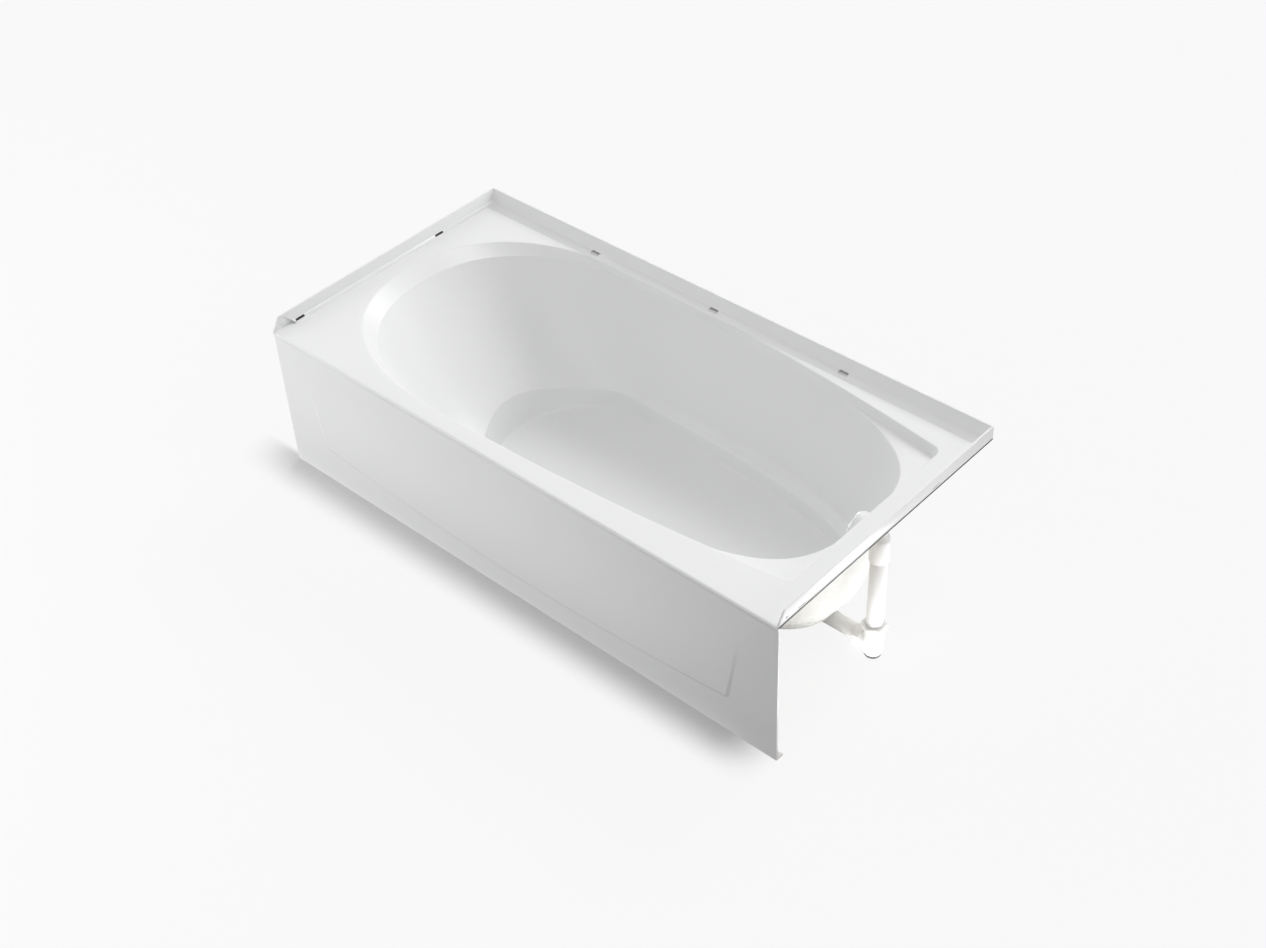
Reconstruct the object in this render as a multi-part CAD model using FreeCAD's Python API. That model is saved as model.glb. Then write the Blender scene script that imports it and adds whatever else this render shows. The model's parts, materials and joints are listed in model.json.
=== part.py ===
import FreeCAD, Part
import math
import os
from FreeCAD import Vector

# Alcove bathtub, drain at the right-hand end. Millimetres, +Z up, +X along the apron to the right,
# +Y to the back wall. Origin: middle of the overall footprint, at floor level.

# overall
bath_length = 1524.0        # along the apron
bath_width = 742.0          # apron face to back flange
deck_height = 397.0         # floor to the flat deck
flange_height = 33.0        # tiling flange above the deck
acrylic = 4.0               # moulded sheet
basin_y = 7.0               # centre line of the basin, behind the middle of the footprint
skin_gap = 0.3              # between the sheet and the laminate sprayed on it
laminate = 4.0
half_length = bath_length / 2
half_width = bath_width / 2

# tiling flange, in from the outer faces
flange_thickness = 4.0
side_base = 14.0            # foot of the side flanges
side_ledge = 7.5
back_base = 41.0            # foot of the back flange
back_ledge = 21.0
ledge_rise = 7.0            # from the deck to the ledge
ledge_fall = 1.5
lug_length = 28.0           # flat lug at the front end of each side flange
lug_run = 34.0              # length over which the flange thickens behind the lug
lug_slant = 22.0
lug_hole_y = 26.0
lug_hole_rise = 10.0
lug_hole_radius = 2.6
slot_length = 26.0
slot_height = 4.0
slot_rise = 6.0             # slot centres above the deck
back_slot_pitch = 381.0
back_slot_count = 3
side_slot_pitch = 457.0
side_slot_y = 74.0          # first side slot, from the apron face

# recess round the basin
recess_depth = 20.0
recess_left = 58.5 - half_length        # left tip at deck level
recess_right = half_length - 62.0
recess_half = half_width - 38.0         # half width at its widest
recess_widest = 504.0 - half_length     # where the left end starts
recess_side_radius = 6323.0
recess_corner = 20.0
recess_power = 2.3
recess_draft = 7.0          # how far the recess wall leans in, sides and right

# basin: an opening, a sloped back rest, and a foot pan with a step
opening_left = 104.0 - half_length
opening_right = half_length - 69.5
opening_half = recess_half - 8.5
opening_widest = recess_widest
opening_power_left = 2.2
opening_power_right = 3.35
bowl_height = 120.0         # level where the walls end on the step
bowl_left = 428.0 - half_length
bowl_right = half_length - 112.0
bowl_half = half_width - 126.0
bowl_widest = half_length - 674.0
bowl_power_left = 3.6
bowl_power_right = 2.4
wall_bow = 0.15             # how much the walls belly near the bottom
pan_floor = 78.0
pan_left = 405.0 - half_length
pan_right = half_length - 139.0
pan_half = half_width - 156.0
pan_widest = 600.0 - half_length
pan_power_left = 2.0
pan_power_right = 2.8
pan_draft = 0.32            # sideways per height
pan_cut_height = 172.0      # top of the pan's wall where it cuts into the back rest
outline_points = 48
seam_angle = 225.0          # where each outline starts, clear of the fittings
wall_sections = 5

# apron
apron_recess = 3.5          # flat face behind the nose
apron_thickness = 4.0
nose_radius = 6.0
nose_drop = 15.0            # nose down to the flat face
apron_lip = 22.0            # return along the floor
apron_corner = 6.0
panel_sag_height = 70.0     # middle of the panel's curved bottom edge
panel_end_height = 107.0
panel_half = half_length - 131.0    # half length at the bottom corners
panel_lean = 0.17           # how the ends lean outwards
panel_top = deck_height - 97.0      # where the panel has faded into the face
panel_depth = 3.0

# timber behind the apron and under the deck
rail_thickness = 19.0
rail_depth = 59.0
rim_rail_depth = 18.0
rim_rail_width = 33.0
rim_rail_inset = 17.0       # from the outer faces
post_width = 60.0
post_inset = 40.0
post_count = 4

# base
board_thickness = 15.0
board_left = pan_left + 57.0
board_right = pan_right - 173.0
board_half = pan_half - 65.0
runner_width = 38.0
runner_offset = board_half - 25.0       # runners either side of the basin's centre line
pad_thickness = 6.0
pad_length = 90.0
pad_count = 3
tie_width = 30.0
tie_thickness = 3.0
tie_tab = 24.0
tie_height = 22.0
tie_offset = 210.0
tie_screw_bite = 14.0
wood_screw_radius = 2.2
wood_screw_length = 15.0
wood_screw_head = 4.2
wood_screw_head_height = 2.4

# drain
drain_x = pan_right - 85.0
drain_hole_radius = 25.0
drain_rim_radius = 36.0
drain_rim_height = 2.5
drain_body_radius = 22.5
drain_bore_radius = 18.6
drain_seat_radius = 20.6
drain_seat_depth = 4.0
drain_gasket_thickness = 3.0
drain_grid_thickness = 4.0
drain_grid_width = 5.0
drain_hub_radius = 6.0
stopper_radius = 24.0
stopper_rise = 7.0
stopper_stem_radius = 2.5
stopper_clearance = 0.08
seal_thickness = 2.4

# waste and overflow pipes
pipe_radius = 19.05
pipe_wall = 1.6
socket_clearance = 0.3
fitting_wall = 2.6
waste_z = 40.0
riser_x = half_length - 29.0
shoe_flange_radius = 34.0
shoe_flange_thickness = 4.0
shoe_socket_end = drain_x + 54.0
socket_depth = 22.0
tee_branch_end = riser_x - 37.0
tee_top = 92.0
tee_bottom = 17.0
outlet_length = 14.0
nut_radius = 29.0           # over the corners
nut_length = 18.0
nut_wall_gap = 0.3
washer_thickness = 3.0

# overflow
overflow_z = deck_height - 52.0
boss_radius = 42.0
boss_face = half_length - 88.0
overflow_hole_radius = 26.0
pad_radius = 44.0
pad_face = boss_face + 30.0
gasket_thickness = 5.0
gasket_radius = 38.0
head_flange_radius = 36.0
head_flange_thickness = 4.0
head_throat_radius = 15.0
head_outer_radius = 22.0
head_top = overflow_z + 21.0
head_socket_bottom = overflow_z - 57.0
plate_radius = 36.0
plate_thickness = 4.0
plate_dome = 3.0
plate_slot_width = 7.5
plate_slot_height = 13.0
plate_screw_offset = 21.0
screw_radius = 2.4
screw_head_radius = 4.6
screw_head_height = 2.5

# trip lever and linkage
lever_pivot_x = boss_face + 10.0
lever_arm = 40.0
lever_throw = 24.0          # degrees
lever_width = 6.0
lever_height = 4.0
lever_reach = 26.0          # in front of the plate
lever_hub_radius = 4.0
pin_radius = 1.5
pin_clearance = 0.08
ear_thickness = 1.8
ear_gap = 0.5
rod_radius = 1.5
rod_offset = 4.8            # beside the lever arm
rod_slot_length = 7.0
rod_slot_height = 4.2
rod_peg_radius = 1.4
rod_jog_top = 170.0
rod_jog_bottom = 140.0
rod_tail = 20.0             # the rod's end inside the spring
spring_radius = 6.0         # to the middle of the wire
spring_wire = 0.9
spring_pitch = 4.5
spring_turns = 8
spring_collar = 2.0
rocker_pivot_x = drain_x + 80.0
rocker_radius = 2.2
rocker_tip_radius = 3.6
link_gap = 0.5

# levels and faces that follow from these
front_y = -half_width
flange_top = deck_height + flange_height
deck_under = deck_height - acrylic
recess_floor = deck_height - recess_depth
apron_face = front_y + apron_recess
apron_back = apron_face + apron_thickness
pan_under = pan_floor - acrylic
laminate_under = pan_under - skin_gap - laminate
board_under = laminate_under - board_thickness
pipe_bore = pipe_radius - pipe_wall
socket_radius = pipe_radius + socket_clearance
fitting_radius = socket_radius + fitting_wall
laminate_top = recess_floor - acrylic - 3.0
gasket_top = laminate_under
shoe_top = gasket_top - drain_gasket_thickness
tie_middle = (board_left + board_right) / 2
tie_places = [tie_middle - tie_offset, tie_middle + tie_offset]
tie_screw_z = tie_height + (tie_tab + tie_thickness) / 2
half_throw = math.radians(lever_throw / 2)
rod_travel = 2 * lever_arm * math.sin(half_throw)
rod_x = lever_pivot_x + lever_arm * math.cos(half_throw)
rod_eye_z = overflow_z + lever_arm * math.sin(half_throw)
tail_length = riser_x - rocker_pivot_x
nose_length = rocker_pivot_x - drain_x
rocker_angle = rod_travel / tail_length
stopper_lift = nose_length * rocker_angle
tail_z = waste_z + rod_travel / 2
nose_z = waste_z - stopper_lift / 2
spring_bottom = tail_z + rocker_tip_radius + link_gap
spring_top = spring_bottom + spring_pitch * spring_turns + 2 * spring_wire
rod_bottom = spring_top - rod_tail
stem_bottom = nose_z + rocker_tip_radius + link_gap
head_face = pad_face + skin_gap + gasket_thickness + skin_gap


def save(shape, name):
    shape.exportStep("parts/" + name + ".step")


def box(x0, x1, y0, y1, z0, z1):
    return Part.makeBox(x1 - x0, y1 - y0, z1 - z0, Vector(x0, y0, z0))


def rod_z(x, y, z0, z1, radius):
    return Part.makeCylinder(radius, z1 - z0, Vector(x, y, z0), Vector(0, 0, 1))


def rod_x_way(x0, x1, y, z, radius):
    return Part.makeCylinder(radius, x1 - x0, Vector(x0, y, z), Vector(1, 0, 0))


def rod_y_way(x, y0, y1, z, radius):
    return Part.makeCylinder(radius, y1 - y0, Vector(x, y0, z), Vector(0, 1, 0))


def rod_between(start, end, radius):
    way = end.sub(start)
    return Part.makeCylinder(radius, way.Length, start, way)


def prism(points, way):
    wire = Part.makePolygon(points + [points[0]])
    return Part.Face(wire).extrude(way)


def turned(profile, x, y):
    # profile: (radius, z) points turned round a vertical axis
    wire = Part.makePolygon([Vector(x + r, y, z) for r, z in profile + [profile[0]]])
    return Part.Face(wire).revolve(Vector(x, y, 0), Vector(0, 0, 1), 360)


def compound(solids):
    return Part.makeCompound(solids)


# outlines of the basin: two half ovals that meet where the basin is widest

def oval_point(left, right, widest, half, power_left, power_right, angle):
    side = math.cos(angle)
    power = power_right if side > 0 else power_left
    reach = right - widest if side > 0 else widest - left
    size = (abs(side) ** power + abs(math.sin(angle)) ** power) ** (-1 / power)
    return widest + reach * size * side, basin_y + half * size * math.sin(angle)


def oval(spec, z, grow=0.0):
    left, right, widest, half, power_left, power_right = spec
    points = []
    for i in range(outline_points):
        angle = math.radians(seam_angle) + 2 * math.pi * i / outline_points
        x, y = oval_point(left - grow, right + grow, widest, half + grow,
                          power_left, power_right, angle)
        points.append(Vector(x, y, z))
    curve = Part.BSplineCurve()
    curve.interpolate(Points=points, PeriodicFlag=True)
    return Part.Wire(curve.toShape())


opening_spec = (opening_left, opening_right, opening_widest, opening_half,
                opening_power_left, opening_power_right)
bowl_spec = (bowl_left, bowl_right, bowl_widest, bowl_half, bowl_power_left, bowl_power_right)


def pan_spec(height):
    out = (height - pan_floor) * pan_draft
    return (pan_left - out, pan_right + out, pan_widest, pan_half + out,
            pan_power_left, pan_power_right)


def bowl_solid(grow):
    wires = []
    for i in range(wall_sections):
        t = i / (wall_sections - 1)
        blend = (1 - wall_bow) * t + wall_bow * t ** 4
        z = recess_floor + (bowl_height - recess_floor - grow) * t
        spec = [a + (b - a) * blend for a, b in zip(opening_spec, bowl_spec)]
        wires.append(oval(spec, z, grow))
    body = Part.makeLoft(wires, True, False)
    collar = Part.Face(oval(opening_spec, recess_floor, grow))
    return body.fuse(collar.extrude(Vector(0, 0, recess_depth / 2)))


def pan_solid(grow):
    low = oval(pan_spec(pan_floor), pan_floor - grow, grow)
    high = oval(pan_spec(pan_cut_height), pan_cut_height, grow)
    return Part.makeLoft([low, high], True, True)


def recess_wire(z, shrink, grow):
    # left half oval, long side arcs, rounded corners and a straight right end
    half = recess_half - shrink + grow
    right = recess_right - shrink + grow
    # the left end of the recess floor meets the opening
    left = recess_left if shrink == 0 else opening_left - 1.0
    left -= grow
    power = recess_power if shrink == 0 else opening_power_left
    points = []
    steps = outline_points // 2
    for i in range(steps + 1):
        angle = math.pi / 2 + math.pi * i / steps
        x, y = oval_point(left, right, recess_widest, half, power, power, angle)
        points.append(Vector(x, y, z))
    end = Part.BSplineCurve()
    end.interpolate(Points=points, InitialTangent=Vector(-1, 0, 0), FinalTangent=Vector(1, 0, 0))
    run = right - recess_widest
    sag = recess_side_radius - math.sqrt(recess_side_radius ** 2 - run ** 2)
    corner_half = half - sag
    corner = recess_corner
    slope = run / math.sqrt(recess_side_radius ** 2 - run ** 2)
    cut_x = right - corner
    side_run = cut_x - recess_widest
    side_y = half - recess_side_radius + math.sqrt(recess_side_radius ** 2 - side_run ** 2)
    mid_run = side_run / 2
    mid_y = half - recess_side_radius + math.sqrt(recess_side_radius ** 2 - mid_run ** 2)
    bulge = corner * (1 - math.cos(math.pi / 4))
    front_y0 = basin_y - half
    front = Part.Arc(Vector(recess_widest, front_y0, z),
                     Vector(recess_widest + mid_run, basin_y - mid_y, z),
                     Vector(cut_x, basin_y - side_y, z)).toShape()
    turn_y = side_y - corner * (1 + slope / 2)
    corner_mid_x = right - bulge
    corner_mid_y = corner_half - bulge + corner * slope / 2
    front_corner = Part.Arc(Vector(cut_x, basin_y - side_y, z),
                            Vector(corner_mid_x, basin_y - corner_mid_y, z),
                            Vector(right, basin_y - turn_y, z)).toShape()
    across = Part.makeLine(Vector(right, basin_y - turn_y, z), Vector(right, basin_y + turn_y, z))
    back_corner = Part.Arc(Vector(right, basin_y + turn_y, z),
                           Vector(corner_mid_x, basin_y + corner_mid_y, z),
                           Vector(cut_x, basin_y + side_y, z)).toShape()
    back = Part.Arc(Vector(cut_x, basin_y + side_y, z),
                    Vector(recess_widest + mid_run, basin_y + mid_y, z),
                    Vector(recess_widest, basin_y + half, z)).toShape()
    return Part.Wire([end.toShape(), front, front_corner, across, back_corner, back])


def recess_solid(grow, top):
    low = recess_wire(recess_floor - grow, recess_draft, grow)
    high = recess_wire(deck_height, 0.0, grow)
    body = Part.makeLoft([low, high], True, True)
    if top > deck_height:
        lid = Part.Face(recess_wire(deck_height, 0.0, grow))
        body = body.fuse(lid.extrude(Vector(0, 0, top - deck_height)))
    return body


# the moulded sheet

def inner_of_flange():
    # the space inside the three flanges, level by level, open at the front
    levels = [
        (deck_height, side_base, back_base),
        (deck_height + ledge_rise, side_base - ledge_fall, back_base - 2 * ledge_rise),
        (deck_height + ledge_rise + ledge_fall, side_ledge, back_ledge),
        (flange_top, flange_thickness, flange_thickness),
        (flange_top + ledge_rise, flange_thickness, flange_thickness),
    ]
    open_front = front_y - lug_slant
    space = None
    for low, high in zip(levels, levels[1:]):
        wires = []
        for z, side, back in (low, high):
            x = half_length - side
            y = half_width - back
            corners = [Vector(-x, open_front, z), Vector(x, open_front, z),
                       Vector(x, y, z), Vector(-x, y, z)]
            wires.append(Part.makePolygon(corners + [corners[0]]))
        layer = Part.makeLoft(wires, True, True)
        space = layer if space is None else space.fuse(layer)
    return space


def lug_cuts():
    # the flange thins to a flat lug at each front end, and the lug's end is cut on a slant
    top = flange_top + 1
    thick_from = front_y + lug_length
    x = half_length - flange_thickness
    run_out = prism([Vector(-x, front_y - lug_slant, deck_height),
                     Vector(-x, thick_from + lug_run, deck_height),
                     Vector(-x, thick_from, top),
                     Vector(-x, front_y - lug_slant, top)], Vector(2 * x, 0, 0))
    slant = prism([Vector(-half_length, front_y - lug_slant, deck_height),
                   Vector(-half_length, front_y, deck_height),
                   Vector(-half_length, front_y + lug_slant, top),
                   Vector(-half_length, front_y - lug_slant, top)], Vector(bath_length, 0, 0))
    return [run_out, slant]


def slot_along_x(x, z):
    r = slot_height / 2
    reach = slot_length / 2 - r
    y0 = half_width - back_base - 1
    y1 = half_width + 1
    middle = box(x - reach, x + reach, y0, y1, z - r, z + r)
    return middle.fuse([rod_y_way(x + s * reach, y0, y1, z, r) for s in (-1, 1)])


def slot_along_y(side, y, z):
    r = slot_height / 2
    reach = slot_length / 2 - r
    x0 = half_length - side_base - 1
    x1 = half_length + 1
    if side < 0:
        x0, x1 = -x1, -x0
    middle = box(x0, x1, y - reach, y + reach, z - r, z + r)
    return middle.fuse([rod_x_way(x0, x1, y + s * reach, z, r) for s in (-1, 1)])


def flange_holes():
    z = deck_height + slot_rise
    holes = []
    for i in range(back_slot_count):
        holes.append(slot_along_x((i - (back_slot_count - 1) / 2) * back_slot_pitch, z))
    for side in (-1, 1):
        for i in range(2):
            holes.append(slot_along_y(side, front_y + side_slot_y + i * side_slot_pitch, z))
    holes.append(rod_x_way(-half_length - 1, half_length + 1, front_y + lug_hole_y,
                           deck_height + lug_hole_rise, lug_hole_radius))
    return holes


def apron_solid():
    # nose, flat face and floor return, as one section drawn along the bath
    x = -half_length
    face = apron_face
    nose_low = deck_height - nose_drop
    pts = {
        "deck": Vector(x, front_y + nose_radius, deck_height),
        "nose": Vector(x, front_y, deck_height - nose_radius),
        "cove": Vector(x, face, nose_low),
    }
    mid = nose_radius * (1 - math.cos(math.pi / 4))
    nose_arc = Part.Arc(pts["deck"], Vector(x, front_y + mid, deck_height - mid), pts["nose"])
    inside = apron_back
    edges = [
        nose_arc.toShape(),
        Part.makeLine(pts["nose"], pts["cove"]),
        Part.makeLine(pts["cove"], Vector(x, face, 0)),
        Part.makeLine(Vector(x, face, 0), Vector(x, face + apron_lip, 0)),
        Part.makeLine(Vector(x, face + apron_lip, 0), Vector(x, face + apron_lip, acrylic)),
        Part.makeLine(Vector(x, face + apron_lip, acrylic), Vector(x, inside, acrylic)),
        Part.makeLine(Vector(x, inside, acrylic), Vector(x, inside, deck_under)),
        Part.makeLine(Vector(x, inside, deck_under), Vector(x, inside + nose_radius, deck_under)),
        Part.makeLine(Vector(x, inside + nose_radius, deck_under),
                      Vector(x, inside + nose_radius, deck_height)),
        Part.makeLine(Vector(x, inside + nose_radius, deck_height), pts["deck"]),
    ]
    section = Part.Face(Part.Wire(edges))
    apron = section.extrude(Vector(bath_length, 0, 0))
    for side in (-1, 1):
        corner = side * half_length
        apron = apron.cut(prism([Vector(corner, front_y - 1, 0),
                                 Vector(corner - side * apron_corner, front_y - 1, 0),
                                 Vector(corner, front_y - 1, apron_corner)],
                                Vector(0, apron_lip + bath_width / 4, 0)))
    return apron


def panel_solid():
    # raised panel: curved bottom edge, ends leaning out, fading upwards into the face
    y = apron_face
    rise = panel_top - panel_end_height
    spread = panel_half + rise * panel_lean
    bottom = Part.Arc(Vector(-panel_half, y, panel_end_height), Vector(0, y, panel_sag_height),
                      Vector(panel_half, y, panel_end_height)).toShape()
    right = Part.makeLine(Vector(panel_half, y, panel_end_height), Vector(spread, y, panel_top))
    top = Part.makeLine(Vector(spread, y, panel_top), Vector(-spread, y, panel_top))
    left = Part.makeLine(Vector(-spread, y, panel_top), Vector(-panel_half, y, panel_end_height))
    slab = Part.Face(Part.Wire([bottom, right, top, left])).extrude(Vector(0, -panel_depth, 0))
    wedge = prism([Vector(-half_length, y, panel_top),
                   Vector(-half_length, y - panel_depth, panel_sag_height),
                   Vector(-half_length, y - 2 * panel_depth, panel_sag_height),
                   Vector(-half_length, y - 2 * panel_depth, panel_top)],
                  Vector(bath_length, 0, 0))
    return slab.cut(wedge)


def bath_shell():
    deck = box(-half_length, half_length, front_y + nose_radius, half_width, deck_under, flange_top)
    lugs = box(-half_length, half_length, front_y, front_y + nose_radius,
               deck_height, flange_top)
    outer = deck.fuse([lugs, recess_solid(acrylic, deck_height), bowl_solid(acrylic),
                       pan_solid(acrylic), apron_solid(), panel_solid()])
    outer = outer.cut([inner_of_flange()] + lug_cuts())
    basin = recess_solid(0.0, flange_top).fuse([bowl_solid(0.0), pan_solid(0.0)])
    shell = outer.cut(basin)
    wall_x = opening_right + acrylic
    boss = rod_x_way(boss_face, wall_x, basin_y, overflow_z, boss_radius)
    inside = bowl_solid(acrylic - skin_gap)
    shell = shell.fuse(boss.common(inside))
    hole = rod_x_way(boss_face - 1, wall_x + 1, basin_y, overflow_z, overflow_hole_radius)
    drain = rod_z(drain_x, basin_y, pan_under - 1, pan_floor + 1, drain_hole_radius)
    return shell.cut([hole, drain] + flange_holes()).removeSplitter()


def laminate_backing():
    inner = acrylic + skin_gap
    outer = inner + laminate
    solid = bowl_solid(outer).fuse(pan_solid(outer))
    pad = rod_x_way(bowl_right, pad_face, basin_y, overflow_z - (pad_radius - gasket_radius),
                    pad_radius - (pad_radius - gasket_radius))
    solid = solid.fuse(pad)
    hollow = bowl_solid(inner).fuse(pan_solid(inner))
    solid = solid.cut(hollow)
    solid = solid.cut(box(-half_length, half_length, -half_width, half_width,
                          laminate_top, flange_top))
    hole = rod_x_way(boss_face, pad_face + 1, basin_y, overflow_z, overflow_hole_radius)
    drain = rod_z(drain_x, basin_y, laminate_under - 1, pan_floor, drain_hole_radius)
    return solid.cut([hole, drain]).removeSplitter()


# timber

def apron_rails():
    y0 = apron_back
    y1 = y0 + rail_thickness
    x = half_length - post_inset
    save(box(-x, x, y0, y1, deck_under - rail_depth, deck_under), "apron_top_rail")
    low = box(-x, x, y0, y1, acrylic, acrylic + rail_depth)
    low = low.cut([rod_y_way(place, y1 - tie_screw_bite - skin_gap, y1 + 1, tie_screw_z,
                             wood_screw_radius + skin_gap) for place in tie_places])
    save(low, "apron_bottom_rail")
    pitch = (2 * x - post_width) / (post_count - 1)
    names = ["apron_post_left", "apron_post_mid_left", "apron_post_mid_right", "apron_post_right"]
    for i, name in enumerate(names[:post_count]):
        x0 = -x + i * pitch
        save(box(x0, x0 + post_width, y0, y1, acrylic + rail_depth, deck_under - rail_depth), name)


def rim_rails():
    z0 = deck_under - rim_rail_depth
    out = half_length - rim_rail_inset
    near = front_y + rim_rail_inset + rail_thickness
    back_y1 = half_width - skin_gap * 10
    back_y0 = basin_y + recess_half + acrylic + skin_gap * 10
    far = back_y0 - rim_rail_inset
    save(box(-out, -out + rim_rail_width, near, far, z0, deck_under), "rim_rail_left")
    gap = head_outer_radius + rim_rail_inset
    save(box(out - rim_rail_width, out, near, basin_y - gap, z0, deck_under),
         "rim_rail_right_front")
    save(box(out - rim_rail_width, out, basin_y + gap, far, z0, deck_under),
         "rim_rail_right_back")
    save(box(-out, out, back_y0, back_y1, z0, deck_under), "rim_rail_back")


def screw_up(x, y, z, length):
    # head down, pointing up
    head = Part.makeCone(wood_screw_head, wood_screw_radius, wood_screw_head_height,
                         Vector(x, y, z), Vector(0, 0, 1))
    return head.fuse(rod_z(x, y, z, z + length, wood_screw_radius))


def base():
    drill = wood_screw_radius + skin_gap
    z0 = pad_thickness
    runner_ys = {"runner_front": basin_y - runner_offset, "runner_back": basin_y + runner_offset}
    board = box(board_left, board_right, basin_y - board_half, basin_y + board_half,
                board_under, laminate_under)
    screws = []
    pads = []
    pitch = (board_right - board_left - pad_length) / (pad_count - 1)
    bite = board_thickness * 0.6
    for name, y in runner_ys.items():
        runner = box(board_left, board_right, y - runner_width / 2, y + runner_width / 2,
                     z0, board_under)
        for i in range(pad_count):
            x = board_left + i * pitch
            pads.append(box(x, x + pad_length, y - runner_width / 2, y + runner_width / 2, 0, z0))
        for i in range(pad_count - 1):
            # a counterbored screw up through the runner, between two pads
            x = board_left + pad_length / 2 + (i + 0.5) * pitch
            sunk = board_under - wood_screw_length
            runner = runner.cut([rod_z(x, y, z0 - 1, sunk, wood_screw_head + skin_gap),
                                 rod_z(x, y, sunk - 1, board_under + 1, drill)])
            top = board_under + bite
            board = board.cut(rod_z(x, y, board_under - 1, top + skin_gap, drill))
            screws.append(screw_up(x, y, sunk - wood_screw_head_height, top - sunk
                                   + wood_screw_head_height))
        face = y - runner_width / 2
        if y < basin_y:
            runner = runner.cut([rod_y_way(place, face - 1, face + tie_screw_bite + skin_gap,
                                           tie_screw_z, drill) for place in tie_places])
        save(runner, name)
    save(board, "base_board")
    save(compound(screws), "runner_screws")
    save(compound(pads), "floor_pads")


def apron_ties():
    # steel straps that hold the foot of the apron to the front runner
    y0 = apron_back + rail_thickness
    y1 = basin_y - runner_offset - runner_width / 2
    z0 = tie_height
    z1 = z0 + tie_tab
    screws = []
    for name, x in zip(["apron_tie_left", "apron_tie_right"], tie_places):
        x0 = x - tie_width / 2
        x1 = x + tie_width / 2
        tie = box(x0, x1, y0, y1, z0, z0 + tie_thickness)
        tie = tie.fuse([box(x0, x1, y0, y0 + tie_thickness, z0, z1),
                        box(x0, x1, y1 - tie_thickness, y1, z0, z1)])
        tie = tie.cut(rod_y_way(x, y0 - 1, y1 + 1, tie_screw_z, wood_screw_radius + skin_gap))
        save(tie.removeSplitter(), name)
        for face, way in ((y0 + tie_thickness + skin_gap, -1), (y1 - tie_thickness - skin_gap, 1)):
            start = Vector(x, face, tie_screw_z)
            head = Part.makeCylinder(wood_screw_head, wood_screw_head_height, start,
                                     Vector(0, -way, 0))
            shank = Part.makeCylinder(wood_screw_radius, tie_screw_bite + tie_thickness, start,
                                      Vector(0, way, 0))
            screws.append(head.fuse(shank))
    save(compound(screws), "tie_screws")


# drain

def drain_flange():
    top = pan_floor + drain_rim_height
    low = shoe_top - shoe_flange_thickness - drain_seat_depth
    body = turned([(drain_seat_radius + 1.4, top), (drain_rim_radius - 3, top),
                   (drain_rim_radius, pan_floor + 0.8), (drain_rim_radius, pan_floor),
                   (drain_body_radius, pan_floor), (drain_body_radius, low),
                   (drain_bore_radius, low), (drain_bore_radius, top - drain_seat_depth),
                   (drain_seat_radius, top - drain_seat_depth), (drain_seat_radius, top - 1.4)],
                  drain_x, basin_y)
    half = drain_grid_width / 2
    reach = drain_bore_radius + 0.5
    grid = [box(drain_x - reach, drain_x + reach, basin_y - half, basin_y + half,
                low, low + drain_grid_thickness),
            box(drain_x - half, drain_x + half, basin_y - reach, basin_y + reach,
                low, low + drain_grid_thickness),
            rod_z(drain_x, basin_y, low, low + drain_grid_thickness + 2, drain_hub_radius)]
    body = body.fuse(grid)
    stem = rod_z(drain_x, basin_y, low - 1, top, stopper_stem_radius + stopper_clearance)
    return body.cut(stem).removeSplitter()


def drain_gasket():
    return turned([(drain_body_radius + skin_gap, shoe_top), (shoe_flange_radius, shoe_top),
                   (shoe_flange_radius, gasket_top), (drain_body_radius + skin_gap, gasket_top)],
                  drain_x, basin_y)


def waste_shoe():
    body_low = shoe_top - shoe_flange_thickness - drain_seat_depth - 1
    outer = turned([(0, waste_z), (fitting_radius, waste_z), (fitting_radius, body_low),
                    (drain_body_radius + 4, body_low + 3),
                    (drain_body_radius + 4, shoe_top - shoe_flange_thickness),
                    (shoe_flange_radius, shoe_top - shoe_flange_thickness),
                    (shoe_flange_radius, shoe_top), (0, shoe_top)], drain_x, basin_y)
    heel = Part.makeSphere(fitting_radius, Vector(drain_x, basin_y, waste_z))
    outer = outer.fuse([heel, rod_x_way(drain_x, shoe_socket_end, basin_y, waste_z,
                                        fitting_radius)])
    well = rod_z(drain_x, basin_y, waste_z, shoe_top + 1, pipe_bore)
    bend = Part.makeSphere(pipe_bore, Vector(drain_x, basin_y, waste_z))
    thread = rod_z(drain_x, basin_y, body_low, shoe_top + 1, drain_body_radius + skin_gap)
    way = rod_x_way(drain_x, shoe_socket_end + 1, basin_y, waste_z, pipe_bore)
    socket = rod_x_way(shoe_socket_end - socket_depth, shoe_socket_end + 1, basin_y, waste_z,
                       socket_radius)
    return outer.cut([well, bend, thread, way, socket]).removeSplitter()


def stopper():
    top = pan_floor + drain_rim_height
    under = top + 0.4
    crown = 1.2
    cap = turned([(0, under), (stopper_radius - 1, under), (stopper_radius, under + 1),
                  (stopper_radius - 1, under + 2.6), (stopper_radius * 0.62, under + stopper_rise - crown),
                  (stopper_radius * 0.3, under + stopper_rise - 0.3), (0, under + stopper_rise)],
                 drain_x, basin_y)
    neck = rod_z(drain_x, basin_y, under - seal_thickness - 2, under, stopper_radius * 0.5)
    stem = rod_z(drain_x, basin_y, stem_bottom, under, stopper_stem_radius)
    save(cap.fuse([neck, stem]).removeSplitter(), "stopper_cap")
    inner = stopper_radius * 0.5 + skin_gap
    outer = drain_seat_radius - skin_gap
    save(turned([(inner, under - seal_thickness), (outer - 1, under - seal_thickness),
                 (outer, under - seal_thickness + 1), (outer, under - skin_gap),
                 (inner, under - skin_gap)], drain_x, basin_y), "stopper_seal")


# pipes

def pipe_z(z0, z1):
    tube = rod_z(riser_x, basin_y, z0, z1, pipe_radius)
    return tube.cut(rod_z(riser_x, basin_y, z0 - 1, z1 + 1, pipe_bore))


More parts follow.
